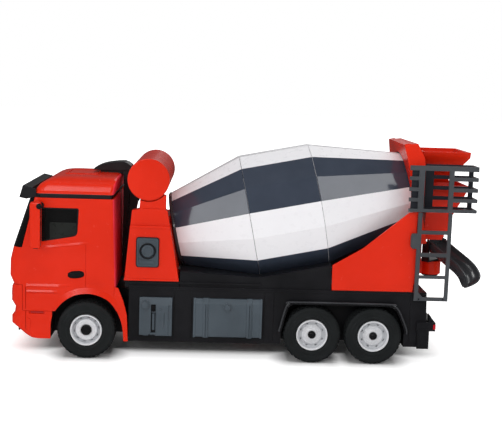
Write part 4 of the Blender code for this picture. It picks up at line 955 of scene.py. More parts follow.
def sun_visor():
    width = 55.3
    visor = prism([(-270.3, 148.0), (-267.1, 158.9), (-258.9, 157.2), (-263.2, 146.6)],
                  -width, width)
    cut(visor, prism([(-272, 140), (-267.2, 148.4), (-264.8, 156.6), (-258.0, 155.2),
                      (-262, 140)], -53.3, 53.3))
    # the band along the roof's lower edge is black, as a painted shadow of the gap between shell
    # and roof
    return add(visor, prism([(-266.0, 148.75), (-262.0, 150.1), (-187, 150.1), (-187, 148.75)],
                            -width, width))


SHAPE["sun_visor"] = sun_visor()

# ================================================================= pedestal
# outlines are (station, height)
PEDESTAL_SIDE = [(-174.6, 74.1), (-169.9, 124.4), (-133.6, 124.0), (-124.5, 74.1)]
PEDESTAL_HOLLOW = [(-172.8, 66), (-172.6, 74), (-168.2, 122.4), (-135.4, 122.0), (-126.8, 74),
                   (-126.8, 66)]
SADDLE_LEFT = [(-169.9, 124.0), (-168.4, 138.9), (-161.3, 140.2), (-161.3, 153.0),
               (-137.8, 153.0), (-137.8, 139.8), (-136.2, 138.6), (-133.7, 124.0)]
SADDLE_RIGHT = [(-169.9, 124.0), (-168.4, 138.9), (-161.3, 140.2), (-161.3, 153.0),
                (-144.8, 153.0), (-144.8, 134), (-142.0, 124.0)]
GEAR_HOUSING = [(-147.5, 118), (-147.5, 129.2), (-134.8, 129.2), (-132.8, 118)]
GEAR_HOUSING_HOLLOW = [(-145.5, 115), (-145.5, 127.4), (-137.0, 127.4), (-135.2, 115)]
TOP_RIM = [(-169.6, 123.2), (-133.5, 122.8), (-133.3, 124.0), (-133.9, 124.9), (-169.5, 125.2),
           (-170.1, 124.4)]
BOTTOM_RIM = [(-174.9, 74.1), (-174.6, 76.2), (-125.0, 76.2), (-124.5, 74.1)]
TANK_X, TANK_Z = -153.8, 167.2        # axis of the water tank
BUTTON_X, BUTTON_Z = -153.4, 102      # axis of the start button


def pedestal():
    body = prism(PEDESTAL_SIDE, -BODY_Y, BODY_Y)
    add(body, prism(GEAR_HOUSING, -18, 18))
    saddle = prism(SADDLE_LEFT, -55.8, -45.8)
    cut(saddle, prism(inset(SADDLE_LEFT, 2.2), -54.0, -40))
    add(body, saddle, prism(SADDLE_RIGHT, 45.8, 55.8))
    cut(body, prism(PEDESTAL_HOLLOW, -55, 55), prism(GEAR_HOUSING_HOLLOW, -16, 16),
        cylinder(20.2, (TANK_X, -70, TANK_Z), (TANK_X, 70, TANK_Z), 128, turn=180 / 128),
        cylinder(5.2, drum_point(-100), drum_point(-113), 64),
        side_cylinder(-1, 6.3, BUTTON_X, BUTTON_Z, 60, 50, 64))
    for side, _ in SIDES:
        add(body, side_prism(side, TOP_RIM, 54.5, 57.75), side_prism(side, BOTTOM_RIM, 56.0, 57.5),
            # pad for the control panel on the left, blank pad on the right
            side_plate(side, -164.6, -142.4, 86.3, 115.2, 2.4, 56.0, 57.25 if side < 0 else 57.8))
        cut(body, side_box(side, -158.5, -140.5, 55.35, 58, 140.6, 141.1))
    cut(body, side_cylinder(-1, 6.3, BUTTON_X, BUTTON_Z, 60, 50))
    # vents in the front face
    for i in range(5):
        z0, z1 = 84 + i * 7.0, 86.4 + i * 7.0
        cut(body, *boxes((-175, -172.0, -40, -20, z0, z1), (-175, -172.0, 20, 40, z0, z1)))
    return body


SHAPE["pedestal"] = pedestal()


# ================================================================= drum
def facet_shell(s0, r0, s1, r1):
    """One drum section: a many-sided cone shell, corners half a facet off the top."""
    return drum_turned([(r0, s0), (r1, s1), (r1 - WALL, s1), (r0 - WALL, s0)], FACETS, DRUM_TURN)


SHAPE["drum_front_cone"] = facet_shell(DRUM_FRONT_S + 0.2, DRUM_FRONT_R,
                                       -DRUM_HALF - DRUM_GAP, DRUM_R)
SHAPE["drum_middle"] = facet_shell(-DRUM_HALF + DRUM_GAP, DRUM_R, DRUM_HALF - DRUM_GAP, DRUM_R)
SHAPE["drum_rear_cone"] = facet_shell(DRUM_HALF + DRUM_GAP, DRUM_R, DRUM_MOUTH_S, DRUM_MOUTH_R)


def drum_gear_cap():
    """Faceted cap on the front of the drum with a stub shaft and a gear."""
    cap = drum_turned([(0, -106.4), (35.6, -106.4), (37.0, -105.4), (37.0, DRUM_FRONT_S - 0.1),
                       (0, DRUM_FRONT_S - 0.1)], FACETS, DRUM_TURN, closed=False)
    gear_frame = placed(drum_point(-114.5), DRUM_UP, (-DRUM_AXIS).cross(DRUM_UP), -DRUM_AXIS)
    gear = outline(gear_outline(teeth=30, module=0.9, phase=math.pi), 5.0, gear_frame)
    return add(cap, cylinder(4.0, drum_point(-105.5), drum_point(-118.0), 64), gear)


SHAPE["drum_gear_cap"] = drum_gear_cap()

# ================================================================= rear frame, hood, hopper
# outlines are (station, height)
FRAME_SIDE = [(16.9, 69.4), (16.6, 92.7), (44.3, 109.2), (85.7, 143.8), (92.8, 144.0),
              (92.9, 78), (91.9, 69.4)]
SADDLE = [(88.5, 69.4), (88.5, 104), (98.7, 110.9), (104.4, 112.0), (104.4, 69.4)]
SADDLE_HOLLOW = [(90.5, 65), (90.5, 102.8), (99.2, 108.8), (102.4, 109.4), (102.4, 65)]
# across, up the drum's face
HOOD_ARCH = [(-50, -45.5), (50, -45.5), (50, 26.6), (47.5, 37), (41.7, 48.2), (-41.7, 48.2),
             (-47.5, 37), (-50, 26.6)]
HOOD_R = 38.3


def rear_frame():
    body = side_prism(-1, FRAME_SIDE, BODY_Y - WALL, BODY_Y)
    add(body, side_prism(1, FRAME_SIDE, BODY_Y - WALL, BODY_Y),
        box(90.2, 92.2, -55.6, 55.6, 69.4, 104),
        cut(prism(SADDLE, -22, 22), prism(SADDLE_HOLLOW, -20, 20)))
    return cut(body, *boxes((86, 89.9, -20, 20, 65, 102), (92.5, 95, -20, 20, 65, 69.2)))


def rear_hood():
    hood = outline([HOOD_ARCH, circle(HOOD_R, 128)], 5.5, drum_plane(121.75))
    cover = outline([HOOD_ARCH], 24, drum_plane(132))
    common(cover, prism([(85.5, 184), (81.0, 205.1), (93.1, 206.2), (99.0, 192.6), (99.0, 184)],
                        -60, 60))
    cut(cover, cylinder(HOOD_R, drum_point(110), drum_point(150), 128))
    return add(hood, cover)


def filling_hopper():
    hopper = rect_loft((110, 130, 13, 168), (108, 131, 16, 178), (103.4, 139.8, 24, 185),
                       (100.9, 146.0, 29, 193), (100.9, 146.4, 29.4, 198.2))
    inside = rect_loft((111.8, 128.2, 11.2, 164), (109.8, 129.2, 14.2, 178.4),
                       (105.2, 138.0, 22.2, 186), (102.7, 144.2, 27.2, 193.6),
                       (102.7, 144.6, 27.6, 202))
    return cut(hopper, inside, drum_face_slab(114.0, 40))


def discharge_collector():
    body = rect_loft((109.7, 135.5, 14, 119.5), (109.7, 135.5, 14, 135), (108.5, 147, 26, 163.5),
                     (108.5, 147, 26, 166.4))
    cut(body, rect_loft((111.7, 133.5, 12, 121.3), (111.7, 133.5, 12, 135.6),
                        (107.5, 145.2, 24, 163.8), (107.5, 145.2, 24, 170)),
        box(112.2, 127.7, -10.2, 10.2, 110, 125))
    # bracket down to the swivel bearing, neck and bearing ring
    add(body, box(104.8, 109.9, -5, 5, 77, 122))
    neck = rect_loft((110.4, 129.5, 12, 114.6), (110.4, 129.5, 12, 121))
    cut(neck, rect_loft((112.2, 127.7, 10.2, 110), (112.2, 127.7, 10.2, 125)))
    add(body, neck)
    ring = cylinder(10.0, (CHUTE_X, 0, 77), (CHUTE_X, 0, 90), 96)
    add(ring, box(106, 114, -5, 5, 77, 90))
    cut(ring, cylinder(5.0, (CHUTE_X, 0, 79), (CHUTE_X, 0, 95), 80))
    add(body, ring)
    return cut(body, drum_face_slab(114.8, 20))


SHAPE["rear_frame"] = rear_frame()
SHAPE["rear_hood"] = rear_hood()
SHAPE["filling_hopper"] = filling_hopper()
SHAPE["discharge_collector"] = discharge_collector()

# ================================================================= chute swivel
YAW = math.radians(CHUTE_YAW)
HEADING = Vector((math.cos(YAW), math.sin(YAW), 0))
SIDEWAYS = Vector((-math.sin(YAW), math.cos(YAW), 0))


def chute_point(out, aside, z):
    """Point at a distance out along the chute and aside from its middle."""
    point = Vector((CHUTE_X, 0, 0)) + HEADING * out + SIDEWAYS * aside
    return (point.x, point.y, z)


def tilt_pin(side, radius, inner, outer):
    return cylinder(radius, chute_point(TILT_U, side * inner, TILT_Z),
                    chute_point(TILT_U, side * outer, TILT_Z))


def chute_swivel():
    """Pivot with a base plate and two upright cheeks either side of the chute."""
    up = Vector((0, 0, 1))
    upright = placed((CHUTE_X, 0, 0), HEADING, up, HEADING.cross(up))
    # outlines are (out along the chute, height)
    narrow_base = [(-4.6, 90.4), (8.0, 90.4), (8.0, 92.0), (-4.6, 92.0)]
    wide_base = [(0.2, 90.4), (8.0, 90.4), (8.0, 92.0), (0.2, 92.0)]
    cheek = [(0.2, 90.4), (8.0, 90.4), (7.6, 108), (6.0, 110.2), (2.0, 110.2), (0.4, 108)]
    body = cylinder(4.6, (CHUTE_X, 0, 79.6), (CHUTE_X, 0, 91.5), 80)
    add(body, outline(narrow_base, 9.0, upright), outline(wide_base, 33.2, upright))
    for side, _ in SIDES:
        aside = Matrix.Translation(SIDEWAYS * (side * 15.5 * MM))
        add(body, outline(cheek, 2.2, aside @ upright))
        cut(body, tilt_pin(side, 1.95, 13.8, 19))
    return body


SHAPE["chute_swivel"] = chute_swivel()

# ================================================================= ladder and platform
NEAR, FAR = (-61, -58.6), (-42.2, -40)    # y of the outer and inner rails


def access_ladder():
    ladder = box(92.9, 96.8, *NEAR, 62, 144.6)
    add(ladder, box(120.9, 124.5, *NEAR, 62, 144.6))
    for z0, z1 in ((62, 65.5), (83, 86), (103.4, 107.2), (124.5, 128)):
        add(ladder, box(95, 122, *NEAR, z0, z1))
    return add(ladder, prism([(96.5, 65), (101.5, 65), (96.5, 70.5)], *NEAR),
               prism([(87.4, 113), (89, 110.8), (94, 110.8), (94, 124.9), (88.4, 124.9),
                      (87.4, 122)], -61, -57.3))


def platform_rail():
    rail = box(99.4, 146.5, -61, -40, 145, 147)
    for z0, z1 in ((145, 148), (154.6, 158), (164.1, 167.6), (174.1, 177.6), (183.1, 187.6)):
        add(rail, *boxes((83.4, 93, *NEAR, z0, z1), (122, 146.5, *NEAR, z0, z1),
                         (103, 146.5, *FAR, z0, z1), (144.2, 146.5, -60.5, -40.5, z0, z1)))
    return add(rail, *boxes((91.7, 97, *NEAR, 145, 187.6), (119.6, 124, *NEAR, 145, 187.6),
                            (95, 121, *NEAR, 183.1, 187.6), (95, 121, *NEAR, 145, 148),
                            (142.4, 146.5, *FAR, 145, 187.6), (102, 109.5, *FAR, 145, 187.6)))


SHAPE["access_ladder"] = access_ladder()
SHAPE["platform_rail"] = platform_rail()

# ================================================================= wheels
# profiles are (radius, height out from the tyre's middle); outer half of a tyre
HALF_TYRE = [
    (15.1, 8.9), (15.5, 9.45), (16.4, 9.75), (17.3, 9.95), (17.9, 10.0), (18.25, 9.72),
    (18.9, 9.66), (19.9, 9.72), (20.0, 9.74), (21.2, 9.80), (21.3, 9.80), (22.9, 9.86),
    (23.3, 10.0), (24.0, 9.96), (24.3, 9.70), (25.2, 9.25), (25.9, 8.70), (26.35, 8.05),
    (26.62, 7.35), (26.75, 6.6), (26.75, 5.0), (26.72, 4.9), (25.95, 4.7), (25.95, 3.9),
    (26.72, 3.7), (26.75, 3.6), (26.75, 0.85), (26.72, 0.75), (25.95, 0.55)]
TYRE = HALF_TYRE + [(r, -h) for r, h in reversed(HALF_TYRE)]
RIM_LIP = [(12.8, -8.6), (14.6, -8.6), (14.6, 8.9), (14.45, 9.4), (14.1, 9.6), (13.55, 9.55),
           (13.3, 9.2)]
RIM_BACK = [(BORE_R, -7), (4.4, -7), (4.4, 2.2), (12.0, 2.2)]
FRONT_DISC = [(13.05, 8.2), (12.75, 6.3), (12.35, 5.2), (11.9, 4.8), (10.7, 4.75), (10.25, 5.0),
              (9.95, 5.6), (9.75, 6.5), (9.45, 6.95), (8.9, 7.1), (6.6, 7.1), (6.4, 7.3),
              (5.6, 7.3), (5.45, 7.0), (BORE_R, 7.0)]
REAR_DISC = [(13.1, 8.3), (12.9, 6.9), (12.6, 6.1), (12.0, 5.5), (11.2, 5.2), (10.9, 4.9),
             (10.4, 4.8), (9.2, 4.9), (7.4, 5.1), (6.2, 5.3), (5.7, 5.7), (5.5, 6.3), (5.2, 6.6),
             (4.4, 6.7), (BORE_R, 6.7)]
# holes: count, first angle, circle radius; hole: radial and tangential half axes;
# nut: circle radius, size, base height, thickness; cap: radius, base height
FRONT_WHEEL = {"disc": FRONT_DISC, "holes": (10, 9, 11.3), "hole": (0.50, 1.35),
               "nut": (7.9, 0.62, 6.9, 0.75), "cap": (5.0, 6.9), "stud": False, "shade_r": 9.9}
REAR_WHEEL = {"disc": REAR_DISC, "holes": (8, 22.5, 10.9), "hole": (0.62, 1.15),
              "nut": (8.3, 0.95, 4.7, 1.3), "cap": (3.75, 6.6), "stud": True, "shade_r": 8.9}
WHEELS = (("front", AXLE_F, FRONT_WHEEL), ("leading", AXLE_1, REAR_WHEEL),
          ("trailing", AXLE_2, REAR_WHEEL))


def tread(step, r, h):
    """Notched shoulders, cross grooves and two raised bars on the sidewall."""
    k = step % 6
    height = abs(h)
    if r > 26.0 and 4.6 < height < 8.2 and k in (0, 1):
        return r - (0.75 if height < 7.4 else 0.45), h
    if r > 26.0 and height < 3.85 and k in ((3, 4) if h > 0 else (2, 3)):
        return r - 0.5, h
    if 19.95 <= r <= 21.25 and (step % 72) in range(24, 44):
        return r, h + 0.16 * (1 if h > 0 else -1)
    return r, h


def hub_point(x, side, r, degrees, h):
    angle = math.radians(degrees)
    return (x + r * math.cos(angle), side * (TRACK + h), TYRE_R + r * math.sin(angle))


def rim(x, side, wheel):
    body = swept(RIM_LIP + wheel["disc"] + RIM_BACK, 96, (x, side * TRACK, TYRE_R), (0, side, 0))
    # oval holes between the disc and the lip
    count, first, circle_r = wheel["holes"]
    radial, tangential = wheel["hole"]
    holes = []
    for q in range(count):
        degrees = first + q * (360 / count)
        centre = Vector(hub_point(x, side, circle_r, degrees, 0))
        cos, sin = math.cos(math.radians(degrees)), math.sin(math.radians(degrees))
        loop = []
        for i in range(20):
            t = math.tau * i / 20
            out, aside = radial * math.cos(t), tangential * math.sin(t)
            loop.append((centre.x + out * cos - aside * sin, centre.z + out * sin + aside * cos))
        holes.append(side_prism(side, loop, TRACK + 2.4, TRACK + 9.0))
    return cut(body, group(holes))


def wheel_nuts(x, side, wheel):
    circle_r, size, base, thickness = wheel["nut"]

    def hexagon(degrees, radius, low, high):
        return cylinder(radius, hub_point(x, side, circle_r, degrees, low),
                        hub_point(x, side, circle_r, degrees, high), 6)
    nuts = []
    for q in range(10):
        degrees = 18 + q * 36
        nuts.append(hexagon(degrees, size, base, base + thickness))
        if wheel["stud"]:
            nuts.append(hexagon(degrees, size * 0.55, base + 1.2, base + 1.75))
    return group(nuts)


def hub_cap(x, side, wheel):
    r, h = wheel["cap"]
    profile = [(0, h), (r, h), (r + 0.05, h + 0.3), (r - 0.05, h + 1.35), (r - 0.45, h + 1.8),
               (r - 1.5, h + 1.95), (r - 1.75, h + 1.7), (1.6, h + 1.75), (1.3, h + 2.05),
               (0, h + 2.1)]
    return turned(profile, (x, side * TRACK, TYRE_R), (0, side, 0), segments=64, closed=False)


for label, axle_x, wheel in WHEELS:
    for side, side_name in SIDES:
        rim_key = f"{label}_rim_{side_name}"
        SHAPE[f"{label}_tyre_{side_name}"] = swept(TYRE, 216, (axle_x, side * TRACK, TYRE_R),
                                                   (0, side, 0), tread)
        SHAPE[rim_key] = rim(axle_x, side, wheel)
        trim(wheel_nuts(axle_x, side, wheel), f"{label}_wheel_nuts_{side_name}", "silver",
             rim_key, 0.12)
        trim(hub_cap(axle_x, side, wheel), f"{label}_hub_cap_{side_name}", "black_gloss",
             rim_key, 0.0)


# ================================================================= folds on the cab's sides
def handle_loop(grow):
    """Rounded outline of the door handle, grown by a distance."""
    half_long, half_high, power = 7.6 + grow, 3.55 + grow, 2.0 / 2.7
    lean = math.radians(5)
    points = []
    for i in range(48):
        t = math.tau * i / 48
        u = math.copysign(abs(math.cos(t)) ** power, math.cos(t)) * half_long
        v = math.copysign(abs(math.sin(t)) ** power, math.sin(t)) * half_high
        points.append((-218.4 + u * math.cos(lean) - v * math.sin(lean),
                       78.4 + u * math.sin(lean) + v * math.cos(lean)))
    return points


def fender_flare(side):
    """Sloping band round the wheel arch, fading out at both ends."""
    inner, outer = inset(WHEEL_ARCH, -0.25), inset(WHEEL_ARCH, -5.6)
    upper = [i for i, p in enumerate(WHEEL_ARCH) if p[1] > 44.6]
    sections = []
    for j, i in enumerate(upper):
        swell = min(1.0, 0.30 + min(j, len(upper) - 1 - j) * 0.10)
        (ax, az), (bx, bz) = inner[i], outer[i]
        sections.append([(ax, side * (CAB_Y - 1.5), az), (ax, side * (CAB_Y + 2.0 * swell), az),
                         (bx, side * (CAB_Y - 0.06), bz), (bx, side * (CAB_Y - 1.5), bz)])
    return loft(sections)


def ledge(side, stations, up, down):
    """Sloping fold through stations of (x, z, how far it stands proud)."""
    root, skin = side * (CAB_Y - 1.0), side * (CAB_Y - 0.03)
    return loft([[(x, root, z + up), (x, skin, z + up), (x, side * (CAB_Y + proud), z),
                  (x, skin, z - down), (x, root, z - down)] for x, z, proud in stations])


# name, stations, reach above and below the crest
LEDGES = (
    ("fender_fold_upper", [(-263, 67.0, 0.72), (-236, 67.0, 0.72), (-229, 67.3, 0.5),
                           (-223.5, 67.9, 0.10)], 2.1, 0.7),
    ("fender_fold_lower", [(-263, 61.7, 0.5), (-240, 61.7, 0.5), (-236, 62.0, 0.12)], 1.7, 0.5),
    ("belt_fold", [(-246.5, 102.9, 0.10), (-241, 103.4, 0.62), (-230, 104.8, 0.74),
                   (-218, 106.2, 0.6), (-209, 107.1, 0.35), (-200.5, 107.8, 0.06)], 1.9, 0.6))
folds = []
for side, side_name in SIDES:
    folds.append(("fender_flare_" + side_name, fender_flare(side), 0.0))
    for name, stations, up, down in LEDGES:
        folds.append((f"{name}_{side_name}", ledge(side, stations, up, down), 0.0))
    folds.append(("door_handle_rim_" + side_name,
                  side_prism(side, [handle_loop(1.55), handle_loop(0.0)],
                             CAB_Y - 1.3, CAB_Y + 0.3), 0.15))

# ================================================================= roof
# z, front station, rear station, half width, front corner radius
ROOF_STATIONS = [
    (150.4, -257.4, -185.6, 57.4, 9), (152.3, -257.3, -185.5, 57.4, 9),
    (153.1, -257.1, -185.4, 57.15, 9), (154.4, -256.7, -185.3, 56.3, 9),
    (155.8, -256.2, -185.1, 55.85, 9), (158.6, -255.2, -184.8, 55.5, 9),
    (162.4, -252.9, -184.3, 54.9, 9), (165.4, -249.8, -183.9, 53.8, 9),
    (167.3, -247.3, -183.6, 52.4, 8.6), (168.9, -244.5, -183.4, 50.4, 8),
    (170.2, -241.9, -183.8, 47.6, 8), (171.2, -238.8, -184.6, 44.2, 8),
    (171.8, -235.8, -185.8, 40.4, 7.5), (172.2, -232.0, -187.5, 36.0, 7)]
# the dome above the vertical rim is lowered to this share of its height
ROOF_RIM_Z, DOME_SHARE = 152.3, 0.74


def cab_roof():
    """Hollow roof with a raised hatch and two ribs behind it."""
    rows = [(z if z < 152.4 else ROOF_RIM_Z + (z - ROOF_RIM_Z) * DOME_SHARE, *rest)
            for z, *rest in ROOF_STATIONS]
    top = rows[-1][0]
    roof = loft([plan_section(x0, x1, y, z, r, 3.0) for z, x0, x1, y, r in rows])
    inside = [plan_section(x0 + 2, x1 - 2, y - 2, z - 2.0, r - 1.5, 1.5)
              for z, x0, x1, y, r in rows]
    inside[0] = [(x, y, 145.0) for x, y, _ in inside[0]]
    cut(roof, loft(inside), box(-233, -205, -17, 17, top - 0.5, 175))
    add(roof, box(-231.8, -206.2, -15.8, 15.8, top - 1.4, top + 0.4),
        level_plate([round_rect(-234.5, -203.5, -19.5, 19.5, 2.5),
                     round_rect(-233.0, -205.0, -18.0, 18.0, 1.6)], 1.4, top))
    for x in (-201.2, -197.2):
        add(roof, level_plate(round_rect(x - 0.8, x + 0.8, -32, 32, 0.7), 1.6, top - 0.5))
    return roof


SHAPE["cab_roof"] = cab_roof()


# ================================================================= grey boxes on the flanks
def tank_section(side, grow=0.0):
    """Section across a fuel tank as (y, z), grown by a distance."""
    return [(side * y, z) for y, z in (
        (50.3, 23 - grow), (59.2 + grow * 0.9, 23 - grow), (60 + grow, 24.2 - grow * 0.5),
        (60 + grow, 53.9 + grow * 0.3), (59.1 + grow, 55.8 + grow * 0.6),
        (57.4 + grow * 0.5, 58.6 + grow), (56.6 + grow * 0.2, 59 + grow), (50.3, 59 + grow))]


def fuel_tank(side, x0, x1, straps, cap_x):
    """Tank with grooved straps, a collar at each end and a filler cap."""
    tank = prism(tank_section(side), x0, x1, "YZ")
    for x in straps:
        add(tank, prism(tank_section(side, 0.62), x - 2.4, x + 2.4, "YZ"))
        cut(tank, *side_boxes(side, (x - 0.35, x + 0.35, 59.7, 62, 23.4, 53.5),
                              (x + 1.6, x + 1.9, 59.9, 62, 22, 60)))
    for x in (x0 + 0.9, x1 - 0.9):
        add(tank, prism(tank_section(side, 0.5), x - 0.9, x + 0.9, "YZ"))
    return add(tank, side_cylinder(side, 3.9, cap_x, 51.2, 59.0, 60.9),
               side_cylinder(side, 2.9, cap_x, 51.2, 59.5, 62.2, 6))


def battery_box():
    """Box with a lever slot, edge steps, a round cap and a small catch."""
    body = prism([(-50.3, 23), (-59.4, 23), (-60, 23.8), (-60, 50.5), (-58.4, 59), (-50.3, 59)],
                 -160, -130, "YZ")
    cut(body, *boxes((-149.3, -145.0, -62, -58.0, 26, 52.5), (-151.5, -145.3, -62, -57, 22, 24.6)),
        prism([(-161, 22), (-155, 22), (-155, 22.9), (-161, 24.6)], -62, -57),
        *boxes((-133.6, -129, -62, -59.2, 22, 52), (-137.3, -136.9, -62, -59.5, 30, 45)))
    return add(body, *boxes((-148.2, -146.0, -59.3, -58.4, 28.5, 44),
                            (-148.9, -145.3, -59.6, -58.4, 44.8, 46.0)),
               side_cylinder(-1, 3.9, -154.6, 52.0, 57, 61.0, 128),
               side_cylinder(-1, 2.9, -154.6, 52.0, 60, 61.9, 128),
               box(-142.2, -139.2, -60.4, -59.4, 47.2, 49.0))


SHAPE["fuel_tank_left"] = fuel_tank(-1, -110.4, -47, straps=(-99.0, -58.6), cap_x=-79)
SHAPE["fuel_tank_right"] = fuel_tank(1, -160, -47, straps=(-140, -103.5, -67), cap_x=-122)
SHAPE["battery_box_left"] = battery_box()

# ================================================================= water tank, control panel
# radius, distance from the middle of the truck
TANK_END = [(0, 56.8), (17.9, 56.8), (18.0, 56.7), (18.1, 56.55), (18.75, 56.5), (19.0, 56.35),
            (19.1, 56.0)]
SHAPE["water_tank"] = turned([(r, -h) for r, h in TANK_END] + list(reversed(TANK_END)),
                             (TANK_X, 0, TANK_Z), (0, 1, 0), segments=128, closed=False)


def control_panel():
    """Rimmed panel with a ring round the button and two raised bars."""
    panel = side_plate(-1, -163.3, -143.8, 87.6, 113.9, 2.0, 57.3, 58.9)
    cut(panel, side_plate(-1, -161.9, -145.2, 89.0, 112.5, 1.3, 58.35, 62))
    add(panel, side_cylinder(-1, 7.3, BUTTON_X, BUTTON_Z, 57.8, 58.85))
    cut(panel, side_cylinder(-1, 6.2, BUTTON_X, BUTTON_Z, 60, 56),
        box(-161.6, -155.0, -60, -58.0, 94.0, 94.9))
    return add(panel, side_plate(-1, -160.2, -147.4, 90.3, 93.0, 0.6, 58.0, 58.95),
               side_plate(-1, -160.2, -147.0, 110.3, 111.4, 0.5, 58.0, 58.75))


SHAPE["control_panel"] = control_panel()
SHAPE["start_button"] = turned([(0, 0), (5.8, 0), (5.8, 4.9), (5.5, 5.5), (5.0, 5.75), (3.8, 5.8),
                                (3.4, 5.5), (0, 5.35)], (BUTTON_X, -54, BUTTON_Z), (0, -1, 0),
                               segments=72, closed=False)


# ================================================================= mirrors, intake
def mirror(side):
    """Mirror housing with rounded ends and a pocket for the glass in its rear face."""
    sections = []
    # z and shrink of each section
    for z, shrink in ((104.2, 1.6), (104.9, 0.6), (107, 0.0), (125, 0.0), (143, 0.0),
                      (145.1, 0.6), (145.8, 1.6)):
        x0, x1 = -258.3 + shrink, -248.5 - shrink * 0.3
        y0, y1, r = 63.5 + shrink * 0.6, 72 - shrink * 0.6, 3.0 - shrink * 0.3
        loop = corner_arcs([(x0 + r, y0 + r, r, 180), (x1 - 1.2, y0 + 1.2, 1.2, 270),
                            (x1 - 1.2, y1 - 1.2, 1.2, 0), (x0 + r, y1 - r, r, 90)], 6)
        sections.append([(x, side * y, z) for x, y in loop])
    return cut(loft(sections), side_box(side, -249.4, -247, 64.6, 70.9, 106, 144))


for side, side_name in SIDES:
    SHAPE["mirror_" + side_name] = mirror(side)

# outlines are (station, height)
INTAKE_DUCT = [(-181.4, 70), (-181.8, 171.5), (-173.6, 171.5), (-172.4, 160.5), (-170.4, 156.2),
               (-168.9, 155), (-166.7, 152), (-165.8, 148), (-165.8, 142), (-168.6, 137),
               (-171, 124.5), (-175.6, 76), (-175.6, 70)]
INTAKE_HOOD = [(-210.5, 169.6), (-209.6, 171.2), (-206.5, 173.0), (-203, 174.5), (-199, 175.7),
               (-195, 176.5), (-188, 177.4), (-181.5, 177.7), (-178, 176.6), (-174.6, 174.2),
               (-173.4, 169.6)]
INTAKE_FOOT = [(-203.5, 166.0), (-204.5, 170.2), (-177, 170.2), (-177, 166.0)]
SHAPE["air_intake"] = add(prism(INTAKE_DUCT, 0.5, 20), prism(INTAKE_HOOD, -1, 23),
                          prism(INTAKE_FOOT, 4, 21))

# ================================================================= chute
CHUTE_R, CHUTE_WALL = 13.35, 1.8
SPOON_LENGTH = 11.0        # the trough narrows over this length at its outer end
# out from the swivel axis, height of the trough's edge
CHUTE_PATH = smooth_path([
    (3.5, 111.4), (12.0, 106.7), (20.0, 102.25), (28.0, 97.8), (35.0, 93.85), (40.5, 90.1),
    (44.8, 86.0), (47.9, 81.4), (50.0, 76.6), (51.2, 72.6)], 6)


def chute_stations():
    """Edge point, upward normal and trough radius of each section."""
    stations, length = [], 0.0
    points = [Vector(p) for p in CHUTE_PATH]
    total = sum((b - a).length for a, b in zip(points, points[1:]))
    for i, point in enumerate(points):
        if i:
            length += (point - points[i - 1]).length
        tangent = (points[min(len(points) - 1, i + 1)] - points[max(0, i - 1)]).normalized()
        q = max(0.0, (length - (total - SPOON_LENGTH)) / SPOON_LENGTH)
        radius = CHUTE_R * math.sqrt(max(0.0, 1.0 - (q * 0.975) ** 2.4))
        stations.append((point, Vector((-tangent.y, tangent.x)), max(radius, 2.6)))
    return stations


CHUTE_STATIONS = chute_stations()


def chute_arc(point, normal, drop, radius, steps=28):
    """Half circle hanging below the edge point by drop."""
    arc = []
    for j in range(steps + 1):
        rise = -drop - radius * math.sin(math.pi * j / steps)
        arc.append(chute_point(point.x + normal.x * rise, radius * math.cos(math.pi * j / steps),
                               point.y + normal.y * rise))
    return arc


def discharge_chute():
    sections = []
    for point, normal, radius in CHUTE_STATIONS:
        drop = CHUTE_R - radius
        inner = chute_arc(point, normal, drop, radius - CHUTE_WALL)
        sections.append(chute_arc(point, normal, drop, radius) + list(reversed(inner)))
    chute = loft(sections)
    for side, _ in SIDES:
        add(chute, tilt_pin(side, 1.6, 11.4, 16.2))
    return chute


SHAPE["discharge_chute"] = discharge_chute()

# ================================================================= finishing the main pieces
KEEP = ["battery_pack", "circuit_board", "drive_motor", "motor_pinion", "drive_axle",
        "trailing_axle", "tie_rod", "servo_horn", "steering_servo", "power_switch",
        "battery_door", "drum_pinion", "drum_motor", "steering_knuckle_left",
        "steering_knuckle_right", "underbody_plate", "cab_interior", "headlamp_insert",
        "tail_lamp_insert"]
# width of the rounded edges, mm; 0.3 where nothing is given
EDGE_WIDTH = {
    "chassis_body": 0.0, "cab_shell": 0.12, "front_bumper": 0.25, "cab_roof": 0.15,
    "pedestal": 0.14, "water_tank": 0.0, "rear_hood": 0.35, "filling_hopper": 0.45,
    "discharge_collector": 0.22, "rear_frame": 0.12, "access_ladder": 0.5,
    "platform_rail": 0.12, "discharge_chute": 0.4, "sun_visor": 0.2, "air_intake": 0.2,
    "chute_swivel": 0.08, "mirror_left": 0.25, "mirror_right": 0.25, "battery_box_left": 0.18,
    "fuel_tank_left": 0.175, "fuel_tank_right": 0.175, "rear_bumper": 0.13,
    "cab_glazing": 0.05, "control_panel": 0.17, "start_button": 0.5}
# pieces rounded only on their long edges, besides the rims
SAFE = ("cab_shell", "front_bumper", "pedestal", "rear_bumper", "rear_hood", "fuel_tank_left",
        "fuel_tank_right", "chute_swivel")
# pieces whose materials differ from the one of their slot; the extra ones on the shell, roof and
# rail carry painted shade and shadow
OWN_MATERIALS = {"cab_shell": ["red", "red_rear_shade"], "cab_roof": ["red", "black", "red_rear_shade"],
                 "platform_rail": ["ladder", "ladder_shade"], "access_ladder": ["ladder"]}
DRUM_SECTIONS = ("drum_front_cone", "drum_middle", "drum_rear_cone")

for key in KEEP:
    keep(key)
for key in sorted(SHAPE):
    if key in DRUM_SECTIONS:
        continue
    if "_rim_" in key:
        final(key, ["silver", "silver_grime_and_shade"], 0.15, safe=True)
    else:
        width = 0.07 if "_tyre_" in key else EDGE_WIDTH.get(key, 0.3)
        materials = OWN_MATERIALS.get(key) or [SLOT_MATERIAL[SLOT_OF[key]]]
        final(key, materials, width, safe=key in SAFE)


def paint_roof(x, y, z, normal):
    """Painted shadow: black rim below, along the gap under the roof; painted shade: the shaded red
    copy on the rear face.
    """
    if z < 152.25:
        return 1
    return 2 if normal.x > 0.6 and x > -190 else 0


